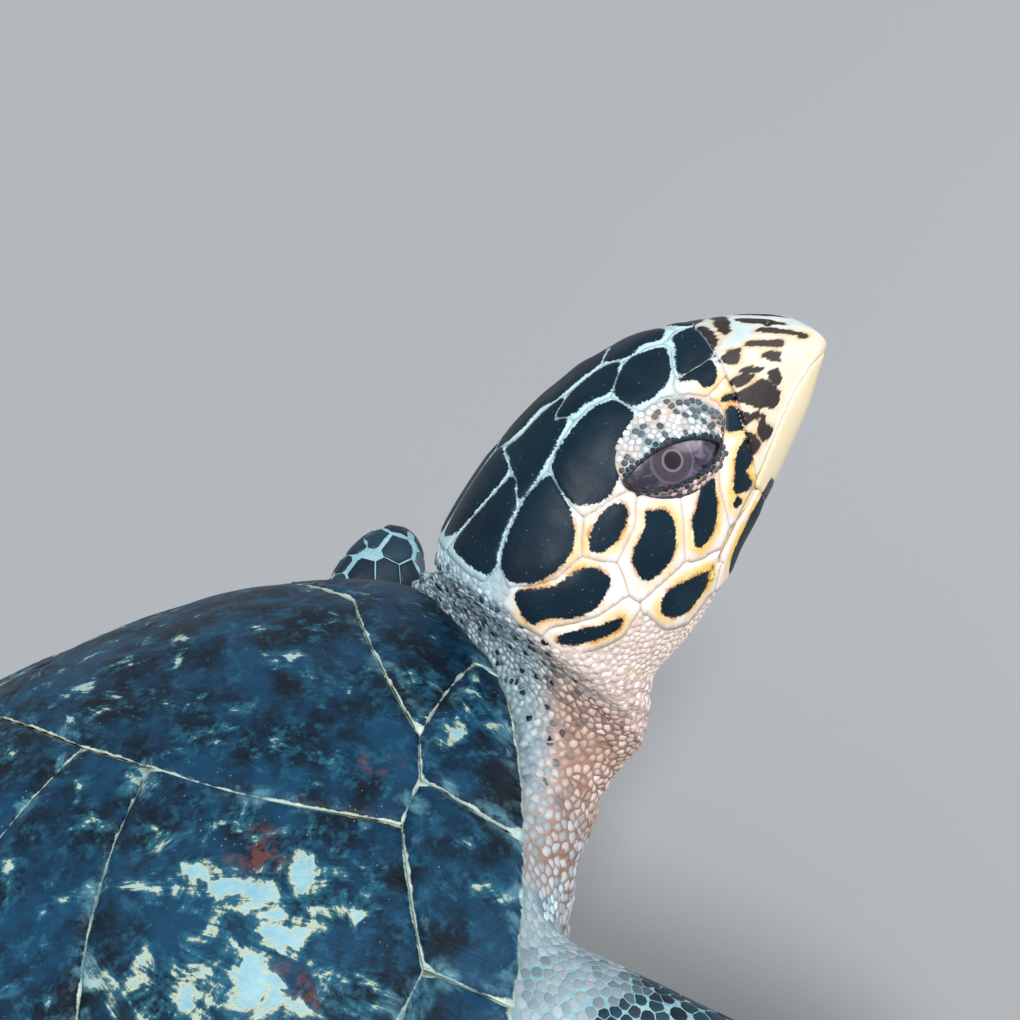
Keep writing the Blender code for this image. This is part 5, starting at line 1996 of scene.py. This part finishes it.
def neck_size(places, flesh, facts):
    """Size of the small scales of the neck, the throat and the chin, in mm."""
    part, along, turn = facts.T
    chart = chart_points(places)
    flank, scaly = folded(chart), scaly_depth(chart)
    bare = (part == 0) & (scaly < -0.6) & (bill_depth(to_head(places)) < -1.5)
    bare &= (flank[:, 0] < 4) | (flank[:, 1] > 74 * ROUND_MM)
    neck = (part == flesh.names.index('neck')) & (scaly < 0.4)
    throat = 1 - ease(upward(turn), 0.35, 0.80)
    size = np.where(neck, 1.95 + 0.75 * throat + 0.8 * ease(along, 0.5, 0.8), 0)
    size = np.where(places[:, 1] > NECK_COVERED, 0, size)
    join = (part < 0) & (places[:, 1] < JOIN_BACK)
    join &= np.abs(places[:, 2] - JOIN_HEIGHT) < JOIN_HALF
    return np.where(bare, 2.0, np.where(join, 2.6, size))


# Share along each flipper at which its large scales begin.
SHOULDER = {'flipper_front_left': -0.12, 'flipper_front_right': 0.13,
            'flipper_hind_left': 0.08, 'flipper_hind_right': 0.08, 'tail': 0.08}


def flipper_size(flesh, facts, name):
    """Small on the shoulder, larger outwards, and largest along the leading edge."""
    part, along, turn = facts.T
    lead = np.minimum(turn, 1 - turn) * 2
    root = SHOULDER[name]
    size = 2.8 + 5.2 * ease(along, root + 0.02, root + 0.24)
    size += 4.5 * (1 - ease(lead, 0.08, 0.40)) * ease(along, root + 0.04, root + 0.24)
    return np.where(part == flesh.names.index(name), size, 0)


def neck_marks_of(places, flesh, facts):
    """What the finish of the neck's small scales reads, with painted shade towards the shell."""
    part, along, turn = facts.T
    throat = 1 - ease(upward(turn), 0.30, 0.75)
    round_head = np.abs(chart_points(places)[:, 1]) / ROUND_MM

    def marks(scales):
        here = scales.corner
        on_head = part[here] == 0
        on_neck = part[here] == flesh.names.index('neck')
        side = np.where(on_head, ease(round_head[here], 34, 58) * 0.55, throat[here])
        nape = ease(side, 0.85, 0.40) * ease(along[here], 0.88, 0.62) * on_neck
        low = ease(side, 0.12, 0.5) * ease(along[here], 0.14, 0.34) * on_neck
        low *= 1 - 0.85 * ease(along[here], 0.62, 0.80)
        rosy = ease(side, 0.05, 0.50) * (1 - 0.75 * ease(along[here], 0.48, 0.74))
        # Painted shade: the neck's scales darken towards the shell, where the neck runs in under
        # it; the 'dark' mark carries this shade as well as the nape's spots.
        shade_near_shell = 0.26 * ease(along[here], 0.52, 0.74) * on_neck
        return {'dark': np.maximum(spots_near(scales.spots) * nape, shade_near_shell), 'rosy': rosy,
                'tan': low * (0.75 + 0.9 * lumps(scales.spots, 0.009, 5.0))}
    return marks


def limb_marks_of(flesh, facts):
    """What the finish of a limb's small scales reads: dark above and pale below."""
    part, along, _ = facts.T

    def marks(scales):
        here = scales.corner
        uneven = 0.10 * lumps(scales.spots, 0.020, 4.0)
        root = SHOULDER[flesh.names[int(part[here].max())]]
        out = 0.30 + 0.70 * ease(along[here] + uneven, root, root + 0.08)
        below = ease(-scales.normals[:, 2], 0.25, 0.65) * ease(along[here], 0.05, 0.25)
        return {'dark': out * (1 - 0.92 * below), 'tan': 0.9 * below,
                'rosy': np.clip(0.10 * (1 - out) + below * 0.6, 0, 1)}
    return marks


def build_small_scales(skin, flesh, facts):
    mesh = skin.data
    surface = surface_tree(mesh)
    chart = skin_chart(facts)
    part, places = facts[:, 0], places_of(mesh)
    finish = small_scale()
    size = neck_size(places, flesh, facts)
    marks = neck_marks_of(places, flesh, facts)
    jaw = Scales(mesh, surface, np.where(part == 0, size, 0))
    carry(jaw.build('jaw_scales', finish, 0.06, 0.12, marks, chart, True),
          ['head', 'lower_jaw'])
    neck = Scales(mesh, surface, np.where(part == 0, 0, size))
    carry(neck.build('neck_scales', finish, 0.06, 0.14, marks, chart, True), ['neck'])
    marks = limb_marks_of(flesh, facts)
    for name in flesh.names[2:]:
        limb = Scales(mesh, surface, flipper_size(flesh, facts, name))
        carry(limb.build(f'{name}_scales', finish, 0.035, 0.035, marks, chart), [name])


def lid_scales(lids, side):
    """Granules of the lids, darkest along the slit."""
    mesh = lids.data
    seen = to_eye(to_head(places_of(mesh)), side)
    rim = from_slit(seen)
    outward = (normals_of(mesh) @ HEAD_AXES * (side, 1, 1)) @ EYE_AXES.T
    chosen = (outward[:, 2] > 0.25) & (rim > 0.35) & (orbit_share(seen) < 0.97)
    chosen &= seen[:, 2] > 1
    size = np.where(chosen, 1.45 + 0.5 * ease(rim, 1.5, 6), 0)

    def marks(scales):
        here = scales.corner
        upper = ease(seen[here, 1], -4, 2)
        chance = np.random.default_rng(SEED + 2).random(len(here))
        front = ease(seen[here, 0], 14, 24) * 0.6 + ease(-seen[here, 0], 10, 22) * 0.35
        dark = (chance < 0.24 + front + 0.25 * (1 - upper)) | (rim[here] < 1.9)
        return {'dark': dark * (0.86 + 0.14 * (rim[here] < 1.9)), 'rosy': 1 - 0.45 * upper,
                'tan': 0.6 * (1 - upper)}

    chart = np.column_stack([0.5 + seen[:, 0] / 90, 0.06 + 0.03 * side + seen[:, 1] / 900])
    scales = Scales(mesh, surface_tree(mesh), size)
    piece = scales.build(f'{lids.name}_scales', small_scale(), 0.08, 0.13, marks, chart)
    carry(piece, ['head'])


# ---------------------------------------------------------------- finishes
def head_colours(made):
    """Dark markings with pale, and low down yellow, borders, as one colour."""
    warm = made.value('warm')
    fray = made.minus(made.plus(made.noise(330, 4, 0.65), made.noise(1100, 3, 0.6)), 1.0)
    wider = made.minus(0.60, made.times(warm, 0.40))
    depth = made.plus('dark', made.plus(made.times(fray, 2.2), wider))
    inside = made.band(depth, -0.25, 0.35)
    cool = made.cloudy(60, (0.30, 0.58, 0.68), (0.74, 0.92, 0.95))
    rosy = made.cloudy(45, (0.97, 0.83, 0.77), (0.97, 0.92, 0.90))
    yellow = made.times(made.band(depth, -5.0, -0.6), made.band(warm, 0.45, 1.0),
                        made.band(made.noise(52), 0.34, 0.56), made.plus('low', 0.75))
    brown = made.times(made.band(depth, -1.5, -0.3), made.band(warm, 0.2, 0.8),
                       made.band(made.noise(120), 0.46, 0.60), 0.8)
    pale = made.over(made.mix(warm, cool, rosy),
                     (yellow, (0.95, 0.62, 0.17)), (brown, (0.62, 0.27, 0.06)))
    dark = made.cloudy(70, (0.001, 0.006, 0.012), (0.006, 0.030, 0.055), 5, 0.6)
    motes = made.times(made.band(made.cells(300), 0.10, 0.05), made.noise(40, 2))
    dark = made.mix(motes, dark, (0.20, 0.27, 0.30))
    return made.mix(inside, pale, dark), inside


def hide():
    """Wrinkled skin: bluish over the neck, pinkish by the jaw, tan at the throat."""
    made = Finish('hide')
    grain = made.noise(130, 4, 0.6)
    blue = made.mix(grain, (0.14, 0.26, 0.34), (0.38, 0.52, 0.58))
    pink = made.mix(grain, (0.56, 0.40, 0.36), (0.80, 0.66, 0.60))
    tan = made.cloudy(34, (0.24, 0.12, 0.10), (0.44, 0.28, 0.22), 4, 0.6)
    cyan = made.mix(grain, (0.16, 0.38, 0.48), (0.42, 0.66, 0.73))
    low = made.times('throat', made.band('along', 0.26, 0.42))
    face = made.over(made.mix('warm', (0.40, 0.60, 0.68), (0.74, 0.62, 0.56)),
                     (made.band('low', 0.2, 0.8), (0.78, 0.64, 0.40)))
    colour = made.over(blue,
                       (made.band('throat', 0.1, 0.6), pink),
                       (made.band(low, 0.2, 0.7), tan),
                       (made.band('limb', 0.25, 0.8), cyan),
                       (made.band('head', 0.3, 0.7), face),
                       (made.band('cover', 0.4, 0.6), (0.60, 0.60, 0.44)),
                       ('join', (0.16, 0.26, 0.33)))
    lines = made.cells(210, 'DISTANCE_TO_EDGE')
    made.bump(made.plus(made.band(lines, 0.0, 0.25), made.noise(700)), 0.5, 0.0007)
    return made.done(colour, 0.55)


def horn():
    """Cream horn of the bill with dark streaks, a paler cutting edge and painted shade in the
    nostrils.
    """
    made = Finish('horn')
    stretch = made.value('grain', 'Vector')
    fray = made.times(made.minus(made.noise(1.0, 5, 0.7, stretch), 0.5), 5.5)
    depth = made.plus('dark', fray)
    cream = made.cloudy(70, (0.86, 0.72, 0.50), (0.88, 0.84, 0.76))
    cool = made.cloudy(70, (0.42, 0.60, 0.64), (0.78, 0.84, 0.82))
    amber = made.times(made.band(depth, -3.2, -0.2), made.band(made.noise(60), 0.42, 0.60), 0.75)
    dark = made.cloudy(1.4, (0.004, 0.005, 0.008), (0.050, 0.036, 0.030), 4, 0.6, stretch)
    colour = made.over(made.mix('warm', cool, cream),
                       (amber, (0.74, 0.46, 0.18)),
                       (made.band('lip', 2.6, 1.4), (0.88, 0.89, 0.86)),
                       (made.band('low', 0.35, 0.8), (0.86, 0.74, 0.50)),
                       (made.band(depth, -0.7, 0.3), dark),
                       # Painted shade: the nostril openings near black.
                       ('nostril', (0.012, 0.008, 0.008)))
    made.bump(made.noise(2.2, 4, 0.6, stretch), 0.22, 0.0008)
    return made.done(colour, 0.36, Specular_IOR_Level=0.4)


def shields():
    """Dark head scales with pale borders."""
    made = Finish('shields')
    colour, inside = head_colours(made)
    seam = made.times(made.band('seam', 0.45, -0.05), 0.45)
    gap = made.mix('warm', (0.52, 0.72, 0.76), (0.93, 0.70, 0.52))
    made.bump(made.noise(420, 4, 0.6), 0.20, 0.0006)
    rough = made.plus(made.times(inside, -0.08), 0.52)
    return made.done(made.mix(seam, colour, gap), rough, Specular_IOR_Level=0.18)


def small_scale():
    """Small scales: dark ones navy with pale rims, light ones bluish, rosy or tan."""
    made = Finish('small_scale')
    tone = made.value('tone')
    rosy = made.mix(tone, (0.76, 0.58, 0.54), (0.96, 0.86, 0.83))
    tan = made.mix(tone, (0.50, 0.33, 0.26), (0.75, 0.58, 0.50))
    light = made.over(made.mix(tone, (0.36, 0.52, 0.62), (0.74, 0.86, 0.92)),
                      ('rosy', rosy), ('tan', tan))
    deep = made.mix(tone, (0.002, 0.012, 0.024), (0.010, 0.050, 0.085))
    # On the neck the 'dark' mark also carries painted shade towards the shell.
    top = made.mix('dark', light, deep)
    ragged = made.plus('height', made.times(made.noise(500), 0.03))
    rim = made.mix(tone, (0.16, 0.34, 0.44), (0.44, 0.64, 0.70))
    rim = made.mix('rosy', rim, light)
    made.bump(made.noise(420, 4, 0.6), 0.35, 0.0006)
    colour = made.mix(made.band(ragged, -0.03, 0.02), rim, top)
    return made.done(colour, 0.45, Specular_IOR_Level=0.35)


def lid_hide():
    """Granular lids: cream and cyan with dark dots, dark along the slit."""
    made = Finish('lid_hide')
    pale = made.mix(made.band(made.noise(70), 0.4, 0.6), (0.26, 0.38, 0.42), (0.62, 0.52, 0.42))
    low = made.cloudy(90, (0.20, 0.13, 0.12), (0.66, 0.46, 0.36))
    colour = made.over(low, (made.band('q', -4, 3), pale),
                       (made.band('rim', 1.9, 0.9), (0.035, 0.025, 0.032)))
    made.bump(made.noise(500, 4, 0.6), 0.4, 0.0006)
    return made.done(colour, 0.42)


def wet_eye():
    """Purple-brown eye with a round pupil and painted shade towards its corners, under a clear
    wet coat.
    """
    made = Finish('wet_eye')
    across, up = made.minus('p', -1.0), made.value('q')
    reach = made.calc('SQRT', made.plus(made.times(across, across), made.times(up, up)))
    streaks = made.noise(200, 5, 0.65, warp=0.6)
    white = made.mix(made.band(streaks, 0.42, 0.66), (0.022, 0.017, 0.032), (0.15, 0.125, 0.20))
    iris = made.mix(streaks, (0.025, 0.016, 0.028), (0.085, 0.060, 0.090))
    ring = made.times(made.band(reach, 4.3, 3.9), made.band(reach, 3.1, 3.5))
    outer = made.times(made.band(reach, 8.6, 8.1), made.band(reach, 7.2, 7.8), 0.6)
    # Painted shade: the eye darkens towards both ends of the slit, under the corners of the lids.
    painted_corner_shade = made.times(made.band(made.calc('ABSOLUTE', 'p'), 11, 20), 0.85)
    colour = made.over(white,
                       (made.band(reach, 8.6, 7.2), iris),
                       (ring, (0.20, 0.17, 0.22)),
                       (outer, (0.16, 0.13, 0.20)),
                       (made.band(reach, 3.2, 2.9), (0.002, 0.002, 0.003)),
                       (painted_corner_shade, (0.012, 0.010, 0.016)))
    return made.done(colour, 0.22, Coat_Weight=0.8, Coat_Roughness=0.03)


def pale_floor():
    """Matt floor that looks as bright under the sun and the sky as the sky itself."""
    made = Finish('pale_floor')
    steep = SUN_PLACE[2] / Vector(SUN_PLACE).length
    suns = [part * SUN_POWER * steep / math.pi for part in SUN_COLOUR]
    level = tuple(sky / (sky + sun) for sky, sun in zip(SKY, suns))
    darker = tuple(part * 0.985 for part in level)
    return made.done(made.cloudy(3.0, darker, level, 2.0), 1.0, Specular_IOR_Level=0.0)


def tortoiseshell():
    """Dark blue-black horn with pale ragged flecks, rusty patches and thin pale seams."""
    made = Finish('tortoiseshell')
    streak, edge = made.value('streak', 'Vector'), made.value('edge')
    cloud = made.noise(76, 5, 0.64, warp=0.4)
    flame = made.noise(1.5, 5, 0.64, streak, 0.6)
    drift = made.plus(made.times(cloud, 0.72), made.times(flame, 0.28))
    drift = made.plus(drift, made.times('pale', 0.148))
    mottle = made.band(made.noise(34, 6, 0.70), 0.40, 0.62)
    fine = made.times(made.band(made.noise(150, 4, 0.7), 0.50, 0.68), 0.65)
    rust = made.times(made.band('rust', 0.25, 0.7), made.band(made.noise(90, 5, 0.7), 0.44, 0.58),
                      0.6)
    halo = made.times(made.band(drift, 0.560, 0.640), 0.60)
    milky = made.cloudy(170, (0.12, 0.40, 0.54), (0.50, 0.72, 0.76), 4, 0.6)
    cream = made.mix(made.band(drift, 0.640, 0.690), (0.58, 0.60, 0.38), milky)
    ragged = made.minus(edge, made.times(made.noise(120, 4, 0.7), 2.2))
    haze = made.times(made.band(edge, 5.0, 0.4), made.band(cloud, 0.47, 0.62), 0.55)
    specks = made.times(made.band(made.cells(300), 0.10, 0.04),
                        made.band(made.noise(30, 2), 0.45, 0.62), 0.6)
    normal = made.add('ShaderNodeNewGeometry').outputs['True Normal']
    facing = made.add('ShaderNodeSeparateXYZ', {'Vector': normal}).outputs['Z']
    below = made.cloudy(30, (0.62, 0.52, 0.30), (0.80, 0.72, 0.50), 4)
    colour = made.over(made.mix(mottle, (0.001, 0.008, 0.018), (0.004, 0.052, 0.118)),
                       (fine, (0.014, 0.110, 0.190)),
                       (rust, (0.20, 0.070, 0.060)),
                       (halo, (0.03, 0.20, 0.30)),
                       (made.band(drift, 0.622, 0.660), cream),
                       (made.band(ragged, -0.95, -1.30), (0.64, 0.78, 0.70)),
                       (haze, (0.14, 0.34, 0.44)),
                       (specks, (0.42, 0.50, 0.50)),
                       (made.band(facing, -0.15, -0.5), below))
    rough = made.plus(made.times(made.noise(55, 4), 0.30), 0.36)
    grain = made.plus(made.noise(150, 5, 0.6), made.noise(3.0, 5, 0.7, streak))
    made.bump(grain, 0.42, 0.0012)
    return made.done(colour, rough, Specular_IOR_Level=0.24)


def belly_horn():
    """Cream-yellow horn of the belly with faint clouds and darker seams."""
    made = Finish('belly_horn')
    smear = made.times(made.band(made.noise(46, 5, 0.7), 0.58, 0.70), 0.35)
    edge = made.plus('edge', made.times(made.noise(90), -1.6))
    colour = made.over(made.cloudy(24, (0.80, 0.66, 0.36), (0.90, 0.82, 0.60), 4, 0.6),
                       (smear, (0.46, 0.36, 0.22)),
                       (made.band(edge, 0.9, -0.6), (0.34, 0.26, 0.15)))
    made.bump(made.noise(120, 5, 0.6), 0.25, 0.001)
    return made.done(colour, 0.42, Specular_IOR_Level=0.35)


def claw_horn():
    """Amber horn in darker and paler clouds."""
    made = Finish('claw_horn')
    colour = made.cloudy(300, (0.30, 0.20, 0.10), (0.62, 0.50, 0.30), 4, 0.6)
    made.bump(made.noise(600), 0.2, 0.0004)
    return made.done(colour, 0.34)


def satin_paint():
    made = Finish('satin_paint')
    made.bump(made.noise(900), 0.10, 0.0003)
    return made.done(made.cloudy(40, (0.070, 0.070, 0.073), (0.082, 0.082, 0.085), 4), 0.38)


def brushed_steel():
    made = Finish('brushed_steel')
    rings = made.add('ShaderNodeMapping', {'Vector': made.place, 'Scale': (4.0, 4.0, 900.0)})
    streaks = made.noise(1.0, 3, at=rings.outputs['Vector'])
    made.bump(streaks, 0.12, 0.0002)
    return made.done(made.mix(streaks, (0.56, 0.56, 0.55), (0.68, 0.68, 0.67)), 0.28,
                     Metallic=1.0)


# ---------------------------------------------------------------- whole scene
build_camera()
build_floor()
build_light()
build_carapace()
build_plastron()
build_bill()
build_head_scales()
build_lids()
build_eyes()
skin, flesh, facts = build_skin()
build_small_scales(skin, flesh, facts)
build_claws()
build_stand()
